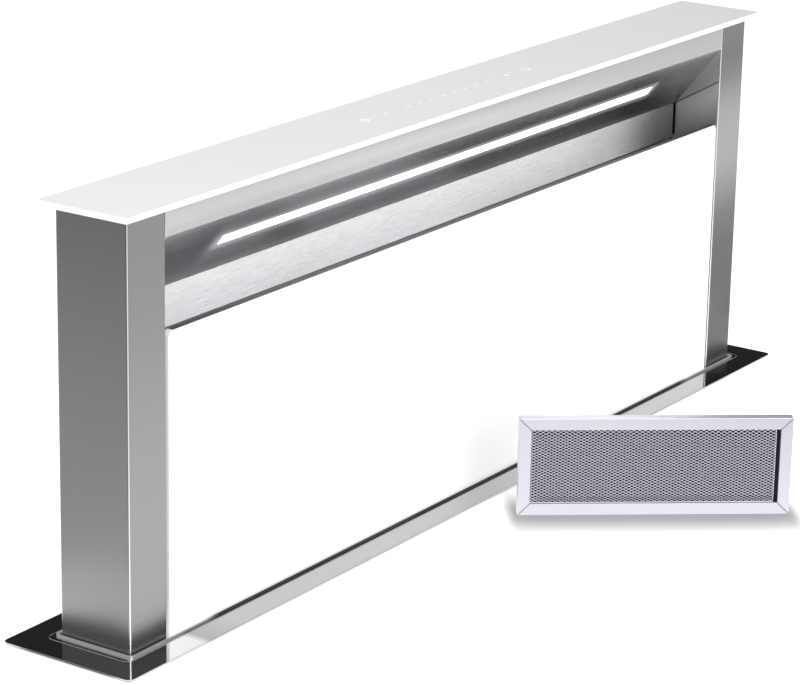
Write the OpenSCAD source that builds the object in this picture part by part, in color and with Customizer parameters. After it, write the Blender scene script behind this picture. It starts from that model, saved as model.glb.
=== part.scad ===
// Downdraft vent: a glass and steel column that rises out of a slot in a worktop.
// Grease filters stand behind its front glass, and the blower sits below in a housing.
// The origin is the middle of the slot, at the height of the worktop. X runs along the
// slot, -Y faces the cook and +Z is up. The column is drawn raised. Millimetres.

/* [Worktop flange] */
// Reach of the flange past the collar at each end
flange_end = 22; // [20:0.5:40]
// Reach of the flange past the collar at each side
flange_side = 19.1; // [17:0.1:30]
// Thickness of the flange sheet
flange_t = 1; // [0.8:0.1:2]
// Thickness of the foam tape under the flange, pressed flat
tape_t = 0.5; // [0.3:0.1:1.5]
// Radius of the flange corners
flange_corner_r = 5; // [2:0.5:10]
// Width of the flat ring round the slot, inside the crease
collar_band = 4; // [3:0.5:6]
// Height of the thin rim round the slot above the flange
collar_rim_h = 1.5; // [0.5:0.1:2.5]

/* [Column] */
// Length over both posts
column_l = 817; // [720:1:900]
// Depth from the front glass to the back sheet
column_w = 59.8; // [56:0.2:66]
// Height of the post tops above the worktop, raised
column_h = 300.8; // [280:0.2:340]
// Width of each post
post_w = 39.2; // [36:0.2:50]
// Sheet thickness of the posts and panels
sheet_t = 1.2; // [0.8:0.1:1.5]
// Outer radius of the folds of the posts
fold_r = 1.8; // [1.6:0.1:3]
// Depth of the column that stays in the slot when it is raised
column_below = 20; // [14:1:30]

/* [Top] */
// Overhang of the glass cap at each end
cap_end = 10; // [8:0.5:20]
// Overhang of the glass cap at each side
cap_side = 8.1; // [6:0.1:14]
// Thickness of the glass cap
cap_t = 4; // [3:0.5:6]
// Width of the ground edge of the glass cap
cap_arris = 0.4; // [0.2:0.1:1]
// Height of the upright band under the cap
fascia_h = 20.3; // [14:0.1:26]
// Height of the sloping panel
slope_h = 51.7; // [44:0.1:56]
// Distance that the sloping panel runs back
slope_run = 41.1; // [38:0.1:43]
// Height of the bright plate under the slope
baffle_h = 29.3; // [20:0.1:30]
// Length of the light
led_l = 575; // [300:5:640]
// Width of the light
led_w = 13; // [8:0.5:18]
// Distance of the light down the slope
led_down = 20.8; // [16:0.2:26]

/* [Front glass] */
// Thickness of the front glass
glass_t = 5; // [4:0.5:6]
// Height of the opening between the glass and the foot of the slope
intake_gap = 12.3; // [9:0.1:24]
// Gap between the glass and each post
glass_gap = 2.5; // [1.5:0.1:4]
// Radius of its top corners
glass_corner_r = 5; // [2:0.5:8]

/* [Grease filters] */
// Length of one filter
filter_l = 205; // [160:1:225]
// Height of one filter
filter_h = 76; // [60:1:90]
// Thickness of one filter
filter_t = 9; // [7:0.5:10]
// Width of the frame rails
filter_rail = 9; // [7:0.5:12]
// Sheet thickness of the frame channel
filter_sheet = 1; // [0.8:0.1:1.5]
// Number of filters in the set
filter_count = 3; // [3]
// Room between the filters and the bright plate
filter_room = 17.5; // [10:0.5:24]
// Place of the loose filter along the slot
loose_x = 35.8; // [20:0.1:60]
// Place of the loose filter in front of the slot
loose_y = -171.1; // [-200:0.1:-165]
// Angle that the loose filter is turned to the slot
loose_turn = -51.8; // [-60:0.1:-40]

/* [Housing] */
// Thickness of the housing sheet
case_t = 1.2; // [0.8:0.1:1.5]
// Depth of the guide rails
rail_depth = 8.8; // [8:0.1:14]
// Room below the legs when the column is down
foot_room = 35; // [20:1:60]
// Diameter of the duct collar
duct_d = 150; // [120:5:160]
// Length of the duct collar
duct_l = 60; // [50:5:90]
// Length of the blower box
blower_l = 380; // [330:5:420]
// Width of the blower wheel
fan_w = 100; // [80:5:120]

/* [Lift drive] */
// Module of the rack and pinion teeth
rack_module = 2; // [2]
// Teeth of each pinion
pinion_teeth = 14; // [14]
// Module of the gear pair
gear_module = 1.5; // [1.5]
// Teeth of the gear on the motor
drive_teeth = 14; // [14]
// Teeth of the gear on the cross shaft
shaft_teeth = 22; // [22]
// Diameter of the cross shaft
shaft_d = 12; // [10:0.5:14]

/* [Hidden] */
$fn = 48;

// Overrun of every cut, and the clearances that pieces keep
over = 1;
slip = 0.3;
seat_gap = 0.05;
crease = 0.3;

// The screws and the webs of the sheet metal
head_r = 3.5;
head_h = 2.2;
head_top_share = 0.75;
web_share = 0.6;

// The column's own planes
half_l = column_l / 2;
half_w = column_w / 2;
post_in = half_l - post_w;
front_y = -half_w;
skin_y = front_y + sheet_t;
back_y = half_w - sheet_t;
slope_top = column_h - fascia_h;
slope_foot = slope_top - slope_h;
slope_y = front_y + slope_run;
slope_a = atan2(slope_h, slope_run);
bend_in = sheet_t * (1 - sin(slope_a)) / cos(slope_a);
bend_out = sheet_t * (1 - cos(slope_a)) / sin(slope_a);
panel_gap = 0.3;
back_bead_r = 10;
back_bead_d = 1;
back_bead_count = 4;
back_bead_step = 150;
back_bead_foot = 20;
glass_top = slope_foot - intake_gap;

// The slot, its collar and the flange
flange_top = tape_t + flange_t;
tape_inset = 1;
slot_gap = 2;
slot_half_l = half_l + slot_gap;
slot_half_w = half_w + slot_gap;
slot_r = 2;
end_band = 3.5;
collar_half_l = slot_half_l + collar_band + end_band;
collar_half_w = slot_half_w + collar_band;
flange_half_l = collar_half_l + flange_end;
flange_half_w = collar_half_w + flange_side;
rim_t = 1.2;
collar_r = 6;
skirt_t = 1.2;

// The stroke of the column: the cap comes to rest a little above the rim of the collar
cap_rest = 0.8;
lift_travel = column_h - flange_top - collar_rim_h - cap_rest;

// The rack, the pinions and the gear pair
pressure_a = 20;
tooth_play = 0.36;
rack_addendum_share = 0.8;
dedendum_share = 1.25;
flank_steps = 4;
rack_room = 15;
leg_tail = 13;
shaft_z = -(column_below + rack_room + lift_travel + leg_tail);
pinion_r = rack_module * pinion_teeth / 2;
rack_y = 12;
shaft_y = rack_y + pinion_r;
pinion_w = 14;
hub_r = 9;
hub_w = 5;
gear_w = 12;
gear_room = 0.8;
drive_r = gear_module * drive_teeth / 2;
shaft_gear_r = gear_module * shaft_teeth / 2;
drive_y = shaft_y - drive_r - shaft_gear_r;
drive_shaft_r = 4;
rack_pitch = PI * rack_module;
rack_root = rack_y - dedendum_share * rack_module;
rack_tip = rack_y + rack_addendum_share * rack_module;
rack_head = shaft_z + lift_travel + leg_tail;

// The legs, and the shoes that guide them
leg_w = 20;
leg_out = half_l - sheet_t;
leg_in = leg_out - leg_w;
leg_front = -12;
leg_room = 28.8;
leg_top = slope_foot - leg_room;
leg_foot = shaft_z - leg_tail;
pinion_x = (leg_in + leg_out) / 2;
shoe_h = 40;
shoe_drop = 20;
shoe_tail = 8;

// The housing: it is as wide as the gears need and as deep as the legs need
rail_play = 1.5;
rail_in = half_l + rail_play;
case_in_l = rail_in + rail_depth;
case_half_l = case_in_l + case_t;
case_in_w = shaft_y + shaft_gear_r + gear_module + gear_room;
case_half_w = case_in_w + case_t;
case_foot = leg_foot - lift_travel - foot_room;
case_fold = 12;
base_lip = 8;
bead_w = 14;
bead_d = 3;
bead_count = 4;
bead_inset = 112;

// The guide rails
rail_half = 15;
rail_wall = 2;
rail_web = 1.5;
rail_clear = 10;
rail_head = -column_below - rail_clear;
rail_foot = case_foot + rail_clear;

// The gear motor: gearbox, motor can and the bracket that holds them
gearbox_r = 21;
gearbox_l = 46;
gearbox_gap = 1.2;
bracket_t = 3;
bracket_half = 24;
bracket_foot = 30;
gearbox_x = -gear_w / 2 - gearbox_gap - bracket_t;
can_r = 17;
can_l = 78;
boss_r = 4;
boss_proud = 2.5;
boss_count = 4;
gearbox_plate = 4;
can_rib_h = 1;
can_rib_step = 4;
can_rib_count = 8;

// The bearing blocks
block_in = rail_in + slip;
block_l = case_in_l - block_in;
block_half = 10;

// The duct collar and its two flaps
duct_r = duct_d / 2;
duct_edge = 6;
duct_room = 1;
duct_y = -(case_half_w + duct_room + duct_edge / 2 + duct_r);
duct_t = 1.5;
flap_t = 1.2;
flap_play = 1.2;
flap_pin_r = 2;
knuckle_r = 3.6;
knuckle_l = 40;
flap_x = blower_l / 2 + duct_l / 4;

// The blower: scroll, wheel, motor and inlet
fan_in = duct_y + fan_w / 2;
fan_out = fan_in - fan_w;
wheel_r = 88;
wheel_in_r = 76;
wheel_gap = 4;
wheel_ring_t = 3;
wheel_hub_r = 15;
blade_count = 36;
blade_t = 1;
blade_lean = 22;
blade_steps = 5;
inlet_r = 70;
inlet_t = 1.5;
inlet_bell = 8;
inlet_lip = 8;
inlet_hole_r = inlet_r + inlet_bell;
inlet_flange_r = inlet_hole_r + inlet_lip;
inlet_l = wheel_gap + wheel_ring_t - fan_in - case_in_w;
bell_steps = 8;
scroll_t = 1.5;
tongue_gap = 8;
scroll_growth = 40;
scroll_start_r = wheel_r + tongue_gap;
scroll_end_r = scroll_start_r + scroll_growth;
scroll_steps = 30;
tongue_a = 28;
tongue_z = scroll_start_r * sin(tongue_a);
mouth_x = blower_l / 2 - case_t;
scroll_room = 7.5;
blower_h = 2 * (scroll_end_r + scroll_t + scroll_room);
fan_z = case_foot + blower_h / 2;
motor_r = 46;
motor_l = 44;
motor_room = 27;
motor_shaft_r = 5;
motor_rib_t = 3;
motor_rib_h = 4;
motor_rib_count = 12;
box_out = fan_out - motor_l - motor_room;
box_top = case_foot + blower_h;
duct_z = box_top - duct_r - duct_edge;
cover_t = 1.5;
cover_lip = 10;
cover_ring_r = 90;
cover_ring_w = 5;
cover_ring_h = 2;
cover_screw_inset = 16;

// The control box, its lid and the gland for the supply lead
control_l = 150;
control_w = 38;
control_h = 120;
control_inset = 130;
control_x = case_half_l - control_inset;
control_top = -100;
lid_t = 2;
lid_lip = 8;
vent_count = 6;
vent_step = 9;
vent_l = 80;
vent_w = 3;
gland_r = 9;
gland_neck_r = 6;
gland_bore_r = 4.2;
gland_l = 18;

// The brackets that pull the flange down and those that fix the housing to a cabinet
clamp_w = 30;
clamp_l = 34;
clamp_t = 2.5;
clamp_inset = 120;
clamp_x = case_half_l - clamp_inset;
clamp_drop = 44;
clamp_hole_r = 3.2;
cabinet_t = 2;
cabinet_w = 40;
cabinet_l = 60;
cabinet_reach = 28;
cabinet_rise = 70;
cabinet_z = case_foot + cabinet_rise;
cabinet_hole_r = 3.5;
cabinet_hole_step = 24;

// The pieces behind and under the glass cap
tray_t = 1.5;
tray_fold = 9;
touch_l = 268;
touch_w = 40;
touch_h = 8;
led_board_t = 3;
led_lip = 2;

// The bright plate and the clips at its lower corners
baffle_gap = 3.7;
baffle_hem = 2.2;
baffle_step = 2.4;
clip_l = 5;
clip_h = 4;

// The filters' wall, ledge and seats
wall_y = slope_y + baffle_step;
ledge_t = 1.2;
ledge_lip = 4;
floor_fold = 10;
filter_foot = slope_foot - baffle_h - filter_room - filter_h;
filter_step = (2 * post_in) / filter_count;
filter_y = wall_y - panel_gap - filter_t;
mitre_gap = 0.2;
window_margin = 8;

// The hooks that hang the front glass on its pins
hook_t = 2;
hook_w = 18;
hook_h = 26;
hook_low = 40;
hook_drop = 40.5;
hook_high = glass_top - hook_drop;
pin_r = 3;
pin_head_r = 5;
pin_head_t = 2;
pin_collar_t = 2;
pin_y = front_y + glass_t + hook_w / 2;

// The net of a filter
net_t = 0.8;
net_cols = 22;
net_rows = 9;
net_web = 1.6;
net_edge = 5;
net_stagger_share = 0.25;

// A block between two opposite corners
module block(lo, hi) {
  translate(lo) cube(hi - lo);
}

// A profile drawn in the Y and Z plane and run along X
module along_x(l) {
  rotate([90, 0, 90]) linear_extrude(height = l, center = true) children();
}

// A rectangle about the middle with true round corners
module round_rect(half_x, half_y, r) {
  square([2 * half_x, 2 * (half_y - r)], center = true);
  square([2 * (half_x - r), 2 * half_y], center = true);
  for (sx = [-1, 1], sy = [-1, 1])
    translate([sx * (half_x - r), sy * (half_y - r)]) circle(r);
}

// The head of a pan screw on a face that looks to -Y, with a hexagon socket
module screw_head() {
  rotate([90, 0, 0])
    difference() {
      union() {
        cylinder(h = head_h / 2, r = head_r);
        translate([0, 0, head_h / 2]) cylinder(h = head_h / 2, r1 = head_r, r2 = head_r * head_top_share);
      }
      translate([0, 0, head_h / 2]) cylinder(h = head_h, r = head_r / 2, $fn = 6);
    }
}

// A three-cornered web that stiffens an angle, in the Y and Z plane about the X axis
module gusset(side_y, side_z, t) {
  along_x(t) polygon([[0, 0], [side_y, 0], [0, side_z]]);
}

// Half of the angle that a tooth fills at a radius, for an involute flank
function involute(a) = tan(a) * 180 / PI - a;
function half_tooth(m, teeth, play, rho) =
  let (r = m * teeth / 2, base = r * cos(pressure_a))
  (PI * m / 2 - play) / (2 * r) * 180 / PI + involute(pressure_a)
  - (rho > base ? involute(acos(base / rho)) : 0);
function gear_points(m, teeth, play) =
  let (
    r = m * teeth / 2,
    root = r - dedendum_share * m,
    base = r * cos(pressure_a),
    tip = r + m,
    rho = [for (i = [0 : flank_steps]) max(base, root) + (tip - max(base, root)) * i / flank_steps]
  )
  [
    for (t = [0 : teeth - 1], side = [-1, 1])
      for (i = [-1 : flank_steps])
        let (
          k = side < 0 ? i : flank_steps - 1 - i,
          d = k < 0 ? root : rho[k],
          a = t * 360 / teeth + side * half_tooth(m, teeth, play, d)
        )
        [d * cos(a), d * sin(a)]
  ];

// A spur gear about the X axis with a tooth that points to -Y, and a bore
module gear_x(m, teeth, w, bore_r, turn) {
  rotate([90, 0, 90])
    linear_extrude(height = w, center = true)
      difference() {
        rotate(180 + turn) polygon(gear_points(m, teeth, tooth_play));
        circle(bore_r);
      }
}

// Points of the straight teeth of a rack, from the root line and back along the bar
function rack_points(lo, cut, hi, back) =
  let (
    add = rack_tip - rack_y,
    ded = rack_y - rack_root,
    half = (rack_pitch - 2 * tooth_play) / 4,
    first = ceil((lo - shaft_z) / rack_pitch),
    last = floor((cut - shaft_z) / rack_pitch) - 1
  )
  concat(
    [[back, lo], [rack_root, lo]],
    [
      for (i = [first : last])
        let (c = shaft_z + (i + 0.5) * rack_pitch)
        each [
          [rack_root, c - half - ded * tan(pressure_a)],
          [rack_tip, c - half + add * tan(pressure_a)],
          [rack_tip, c + half - add * tan(pressure_a)],
          [rack_root, c + half + ded * tan(pressure_a)]
        ]
    ],
    [[rack_root, hi], [back, hi]]
  );

// The flange: a thin polished plate with a round-cornered opening for the collar
module worktop_flange() {
  color([0.35, 0.35, 0.36])
    translate([0, 0, tape_t])
      linear_extrude(height = flange_t)
        difference() {
          round_rect(flange_half_l, flange_half_w, flange_corner_r);
          round_rect(collar_half_l, collar_half_w, collar_r);
        }
}

// The foam tape that seals the flange to the worktop, all round the housing
module flange_tape() {
  color([0.1, 0.1, 0.1])
    linear_extrude(height = tape_t)
      difference() {
        round_rect(flange_half_l - tape_inset, flange_half_w - tape_inset, flange_corner_r - tape_inset);
        square([2 * (case_half_l + tape_inset), 2 * (case_half_w + tape_inset)], center = true);
      }
}

// The collar: a flat ring in the flange with a thin rim round the slot and a skirt below
module slot_collar() {
  color([0.6, 0.6, 0.61]) {
    translate([0, 0, tape_t])
      linear_extrude(height = flange_t)
        difference() {
          round_rect(collar_half_l - crease, collar_half_w - crease, collar_r - crease);
          round_rect(slot_half_l, slot_half_w, slot_r);
        }
    translate([0, 0, flange_top])
      linear_extrude(height = collar_rim_h)
        difference() {
          round_rect(slot_half_l + rim_t, slot_half_w + rim_t, slot_r + rim_t);
          round_rect(slot_half_l, slot_half_w, slot_r);
        }
    translate([0, 0, -skirt_t])
      linear_extrude(height = skirt_t + tape_t)
        difference() {
          square([2 * (case_in_l - slip), 2 * (case_in_w - slip)], center = true);
          round_rect(slot_half_l, slot_half_w, slot_r);
        }
  }
}

// The lip seal in the slot, a hair clear of the column
module slot_seal() {
  color([0.08, 0.08, 0.08])
    translate([0, 0, -skirt_t])
      linear_extrude(height = skirt_t + flange_top)
        difference() {
          round_rect(slot_half_l, slot_half_w, slot_r);
          square([column_l + 2 * slip, column_w + 2 * slip], center = true);
        }
}

// The back wall of the housing, stiffened by pressed beads
module housing_back() {
  color([0.7, 0.71, 0.72]) {
    block([-case_half_l, case_in_w, case_foot + case_t], [case_half_l, case_half_w, tape_t]);
    for (i = [1 : bead_count])
      translate([0, 0, i * case_foot / (bead_count + 1)])
        intersection() {
          translate([0, case_in_w + bead_w / 2 - bead_d, 0])
            rotate([0, 90, 0])
              cylinder(h = 2 * case_half_l - bead_inset, r = bead_w / 2, center = true);
          block([-case_half_l, 0, -bead_w], [case_half_l, case_in_w + case_t / 2, bead_w]);
        }
  }
}

// The front wall has the round way into the blower
module housing_front() {
  color([0.7, 0.71, 0.72])
    difference() {
      block([-case_half_l, -case_half_w, case_foot + case_t], [case_half_l, -case_in_w, tape_t]);
      translate([0, -case_in_w + over, fan_z])
        rotate([90, 0, 0]) cylinder(h = case_t + 2 * over, r = inlet_hole_r);
    }
}

// A side wall of the housing. Its edges are folded along the front and back walls, and the
// back fold leaves room for the bearing block.
module side_wall(side) {
  color([0.66, 0.67, 0.68])
    mirror([side < 0 ? 1 : 0, 0, 0]) {
      block([case_in_l, -case_in_w, case_foot + case_t], [case_half_l, case_in_w, tape_t]);
      difference() {
        for (sy = [-1, 1])
          mirror([0, sy < 0 ? 1 : 0, 0])
            block(
              [case_in_l - case_fold, case_in_w - case_t, case_foot + base_lip + slip],
              [case_in_l + case_t / 2, case_in_w, -skirt_t - slip]
            );
        block(
          [case_in_l - case_fold - over, 0, shaft_z - block_half - slip],
          [case_in_l, case_half_w, shaft_z + block_half + slip]
        );
      }
    }
}

module housing_side_left() {
  side_wall(-1);
}

module housing_side_right() {
  side_wall(1);
}

// The base tray, with its edge folded up inside the walls
module housing_base() {
  color([0.62, 0.63, 0.64]) {
    block([-case_half_l, -case_half_w, case_foot], [case_half_l, case_half_w, case_foot + case_t]);
    translate([0, 0, case_foot])
      linear_extrude(height = base_lip)
        difference() {
          square([2 * case_in_l, 2 * case_in_w], center = true);
          square([2 * (case_in_l - case_t), 2 * (case_in_w - case_t)], center = true);
        }
  }
}

// A guide rail: a C section that the guide shoes run in
module rail(side) {
  color([0.75, 0.76, 0.78])
    mirror([side < 0 ? 1 : 0, 0, 0])
      difference() {
        block([rail_in, -rail_half, rail_foot], [case_in_l, rail_half, rail_head]);
        block(
          [rail_in - over, -rail_half + rail_wall, rail_foot - over],
          [case_in_l - rail_web, rail_half - rail_wall, rail_head + over]
        );
      }
}

module rail_left() {
  rail(-1);
}

module rail_right() {
  rail(1);
}

// A bearing block on the side wall, bored for the cross shaft
module bearing(side) {
  color([0.9, 0.9, 0.86])
    mirror([side < 0 ? 1 : 0, 0, 0])
      difference() {
        translate([block_in, shaft_y, shaft_z])
          rotate([90, 0, 90])
            linear_extrude(height = block_l)
              union() {
                circle(block_half);
                translate([0, -block_half]) square([case_in_w - shaft_y, 2 * block_half]);
              }
        translate([block_in - over, shaft_y, shaft_z])
          rotate([0, 90, 0]) cylinder(h = block_l + 2 * over, r = shaft_d / 2 + seat_gap);
      }
}

module bearing_left() {
  bearing(-1);
}

module bearing_right() {
  bearing(1);
}

// The gear motor: a gearbox with four bolt bosses, and a can with a ribbed end behind it
module gear_motor() {
  color([0.25, 0.25, 0.27])
    translate([gearbox_x, drive_y, shaft_z])
      rotate([0, -90, 0])
        difference() {
          union() {
            cylinder(h = gearbox_plate, r = gearbox_r);
            cylinder(h = gearbox_l, r = gearbox_r - boss_proud);
            translate([0, 0, gearbox_l - gearbox_plate]) cylinder(h = gearbox_plate, r = gearbox_r);
            for (i = [0 : boss_count - 1])
              rotate((i + 0.5) * 360 / boss_count)
                translate([gearbox_r - boss_r - slip, 0, 0]) cylinder(h = gearbox_l - slip, r = boss_r);
            translate([0, 0, gearbox_l]) cylinder(h = can_l, r = can_r);
            for (i = [1 : can_rib_count])
              translate([0, 0, gearbox_l + can_l - i * can_rib_step])
                cylinder(h = can_rib_step / 2, r = can_r + can_rib_h);
            translate([0, 0, gearbox_l + can_l]) cylinder(h = gear_w, r = can_r / 2);
          }
          translate([0, 0, -over]) cylinder(h = gearbox_l / 2 + over, r = drive_shaft_r + seat_gap);
        }
}

// The bracket: an upright plate, an arm that passes under the shaft and a foot on the back wall
module motor_bracket() {
  plate_top = shaft_z + bracket_half / 2;
  arm_top = shaft_z - shaft_d;
  color([0.7, 0.71, 0.72])
    difference() {
      union() {
        block(
          [gearbox_x, drive_y - bracket_half / 2, shaft_z - bracket_half],
          [gearbox_x + bracket_t, drive_y + bracket_half / 2, plate_top]
        );
        block(
          [gearbox_x, drive_y, shaft_z - bracket_half],
          [gearbox_x + bracket_t, case_in_w, arm_top]
        );
        block(
          [gearbox_x - bracket_foot, case_in_w - bracket_t, shaft_z - bracket_half],
          [gearbox_x + bracket_t, case_in_w, arm_top]
        );
      }
      translate([gearbox_x - over, drive_y, shaft_z])
        rotate([0, 90, 0]) cylinder(h = bracket_t + 2 * over, r = drive_shaft_r + slip);
    }
}

// The blower box: an open-fronted sheet box on the front of the housing
module blower_box() {
  color([0.66, 0.67, 0.68])
    difference() {
      block([-blower_l / 2, box_out, case_foot], [blower_l / 2, -case_half_w, box_top]);
      block(
        [-blower_l / 2 + case_t, box_out - over, case_foot + case_t],
        [blower_l / 2 - case_t, -case_half_w + over, box_top - case_t]
      );
      translate([blower_l / 2 + over, duct_y, duct_z])
        rotate([0, -90, 0]) cylinder(h = case_t + 2 * over, r = duct_r - duct_t);
    }
}

// The service cover that closes the box: a folded edge, a pressed ring and four screws
module blower_cover() {
  color([0.7, 0.71, 0.72]) {
    difference() {
      block(
        [-blower_l / 2 - cover_t, box_out - cover_t, case_foot],
        [blower_l / 2 + cover_t, box_out + cover_lip, box_top + cover_t]
      );
      block(
        [-blower_l / 2 - seat_gap, box_out, case_foot - over],
        [blower_l / 2 + seat_gap, box_out + cover_lip + over, box_top + seat_gap]
      );
    }
    translate([0, box_out - cover_t, fan_z])
      rotate([90, 0, 0])
        difference() {
          cylinder(h = cover_ring_h, r = cover_ring_r);
          translate([0, 0, -over]) cylinder(h = cover_ring_h + 2 * over, r = cover_ring_r - cover_ring_w);
        }
    for (sx = [-1, 1], sz = [-1, 1])
      translate([
        sx * (blower_l / 2 - cover_screw_inset),
        box_out - cover_t,
        fan_z + sz * (blower_h / 2 - cover_screw_inset)
      ])
        screw_head();
  }
}

// Points of the scroll's spiral wall at a distance outside its inner face. The wall runs
// from the tongue down and round, and ends at the top, where the throat begins.
function scroll_points(d) = [
  for (i = [0 : scroll_steps])
    let (
      f = i / scroll_steps,
      a = tongue_a - (270 + tongue_a) * f,
      r = scroll_start_r + scroll_growth * f + d
    )
    [r * cos(a), r * sin(a)]
];

// The outline of the scroll and its straight throat, at a distance outside the inner face
module scroll_shape(d) {
  polygon(concat(
    scroll_points(d),
    [[mouth_x, scroll_end_r + d], [mouth_x, tongue_z - d]]
  ));
}

// The scroll: a spiral wall that opens into a straight throat, with a plate on each side
module scroll_housing() {
  color([0.15, 0.15, 0.16])
    translate([0, fan_in, fan_z])
      rotate([90, 0, 0]) {
        linear_extrude(height = scroll_t)
          difference() {
            scroll_shape(scroll_t);
            circle(inlet_r + 2 * rim_t);
          }
        translate([0, 0, scroll_t])
          linear_extrude(height = fan_w - 2 * scroll_t)
            difference() {
              scroll_shape(scroll_t);
              scroll_shape(0);
              translate([mouth_x - over, tongue_z]) square([2 * over, scroll_end_r - tongue_z]);
            }
        translate([0, 0, fan_w - scroll_t])
          linear_extrude(height = scroll_t)
            difference() {
              scroll_shape(scroll_t);
              circle(motor_shaft_r * 2);
            }
      }
}

// Points of a quarter arc of the inlet's bell mouth, from the tube out to the flange
function bell_points(r) = [
  for (i = [0 : bell_steps])
    let (a = 90 * i / bell_steps)
    [inlet_hole_r - r * cos(a), inlet_bell - inlet_t - r * sin(a)]
];
function reversed(list) = [for (i = [len(list) - 1 : -1 : 0]) list[i]];

// The inlet ring: a bell mouth from the housing into the wheel, with a flange inside the wall
module inlet_ring() {
  color([0.3, 0.3, 0.32])
    translate([0, -case_in_w, fan_z])
      rotate([90, 0, 0])
        rotate_extrude()
          polygon(concat(
            [[inlet_r + inlet_t, inlet_l], [inlet_r, inlet_l]],
            bell_points(inlet_bell),
            [[inlet_flange_r, -inlet_t], [inlet_flange_r, 0]],
            reversed(bell_points(inlet_bell - inlet_t))
          ));
}

// The blower motor, on the cover side of the scroll, with ribs round its can
module blower_motor() {
  color([0.2, 0.2, 0.22])
    translate([0, fan_out - slip, fan_z])
      rotate([90, 0, 0])
        difference() {
          union() {
            cylinder(h = motor_l, r = motor_r);
            cylinder(h = fan_out - box_out - slip, r = motor_r / 2);
            for (i = [0 : motor_rib_count - 1])
              rotate(i * 360 / motor_rib_count)
                block(
                  [0, -motor_rib_t / 2, motor_rib_h],
                  [motor_r + motor_rib_h, motor_rib_t / 2, motor_l - motor_rib_h]
                );
          }
          translate([0, 0, -over]) cylinder(h = motor_l / 2 + over, r = motor_shaft_r + seat_gap);
        }
}

// The duct collar on the box side, with the flap pin across it
module outlet_collar() {
  color([0.12, 0.12, 0.13])
    translate([blower_l / 2, duct_y, duct_z])
      rotate([0, 90, 0])
        difference() {
          union() {
            cylinder(h = duct_l, r = duct_r);
            cylinder(h = duct_t, r = duct_r + duct_edge / 2);
          }
          translate([0, 0, -over]) cylinder(h = duct_l + 2 * over, r = duct_r - duct_t);
        }
  color([0.6, 0.6, 0.62])
    translate([flap_x, duct_y, duct_z])
      cylinder(h = 2 * duct_r - duct_t, r = flap_pin_r, center = true);
}

// One of the two half-round flaps that stop air from flowing back. Its own knuckle holds
// the upper or the lower half of the pin.
module flap(side) {
  color([0.3, 0.3, 0.32])
    translate([flap_x, duct_y, duct_z]) {
      rotate([0, 90, 0])
        linear_extrude(height = flap_t, center = true)
          intersection() {
            circle(duct_r - duct_t - flap_play);
            translate([-duct_r, side > 0 ? knuckle_r + slip : -duct_r - knuckle_r - slip])
              square([2 * duct_r, duct_r]);
          }
      rotate([side < 0 ? 180 : 0, 0, 0])
        knuckle();
    }
}

// A knuckle with the web to its flap, above the middle and towards +Y
module knuckle() {
  difference() {
    union() {
      translate([0, 0, flap_play]) cylinder(h = knuckle_l, r = knuckle_r);
      block([-flap_t / 2, 0, flap_play], [flap_t / 2, knuckle_r + slip, flap_play + knuckle_l]);
    }
    cylinder(h = knuckle_l + 2 * flap_play, r = flap_pin_r + seat_gap);
  }
}

module flap_front() {
  flap(-1);
}

module flap_rear() {
  flap(1);
}

// The control box, open to the front, under its lid
module control_box() {
  box_front = -case_half_w - control_w;
  color([0.85, 0.85, 0.83])
    difference() {
      block(
        [control_x - control_l / 2, box_front, control_top - control_h],
        [control_x + control_l / 2, -case_half_w, control_top]
      );
      block(
        [control_x - control_l / 2 + lid_t, box_front - over, control_top - control_h + lid_t],
        [control_x + control_l / 2 - lid_t, -case_half_w - lid_t, control_top - lid_t]
      );
      translate([control_x, -case_half_w - control_w / 2, control_top - control_h - over])
        cylinder(h = lid_t + 2 * over, r = gland_neck_r);
    }
}

// The lid of the control box, with cooling slots and a screw in each corner
module control_cover() {
  box_front = -case_half_w - control_w;
  color([0.82, 0.82, 0.8]) {
    difference() {
      block(
        [control_x - control_l / 2, box_front - lid_t, control_top - control_h],
        [control_x + control_l / 2, box_front, control_top]
      );
      for (i = [0 : vent_count - 1])
        translate([
          control_x, box_front, control_top - control_h / 2 + (i - (vent_count - 1) / 2) * vent_step
        ])
          rotate([90, 0, 0])
            linear_extrude(height = 2 * (lid_t + over), center = true)
              round_rect(vent_l / 2, vent_w / 2, vent_w / 2 - seat_gap);
    }
    for (sx = [-1, 1], sz = [-1, 1])
      translate([
        control_x + sx * (control_l / 2 - lid_lip),
        box_front - lid_t,
        control_top - control_h / 2 + sz * (control_h / 2 - lid_lip)
      ])
        screw_head();
  }
}

// The gland where the supply lead would enter, with its hexagon and its dome
module cable_gland() {
  color([0.1, 0.1, 0.1])
    translate([control_x, -case_half_w - control_w / 2, control_top - control_h - gland_l])
      difference() {
        union() {
          cylinder(h = gland_l / 3, r1 = gland_neck_r, r2 = gland_r * head_top_share);
          translate([0, 0, gland_l / 3]) cylinder(h = gland_l / 3, r = gland_r * head_top_share);
          translate([0, 0, gland_l * 2 / 3]) cylinder(h = gland_l / 3, r = gland_r, $fn = 6);
          cylinder(h = gland_l + lid_t, r = gland_neck_r - seat_gap);
        }
        translate([0, 0, -over]) cylinder(h = gland_l + lid_t + 2 * over, r = gland_bore_r);
      }
}

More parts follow.
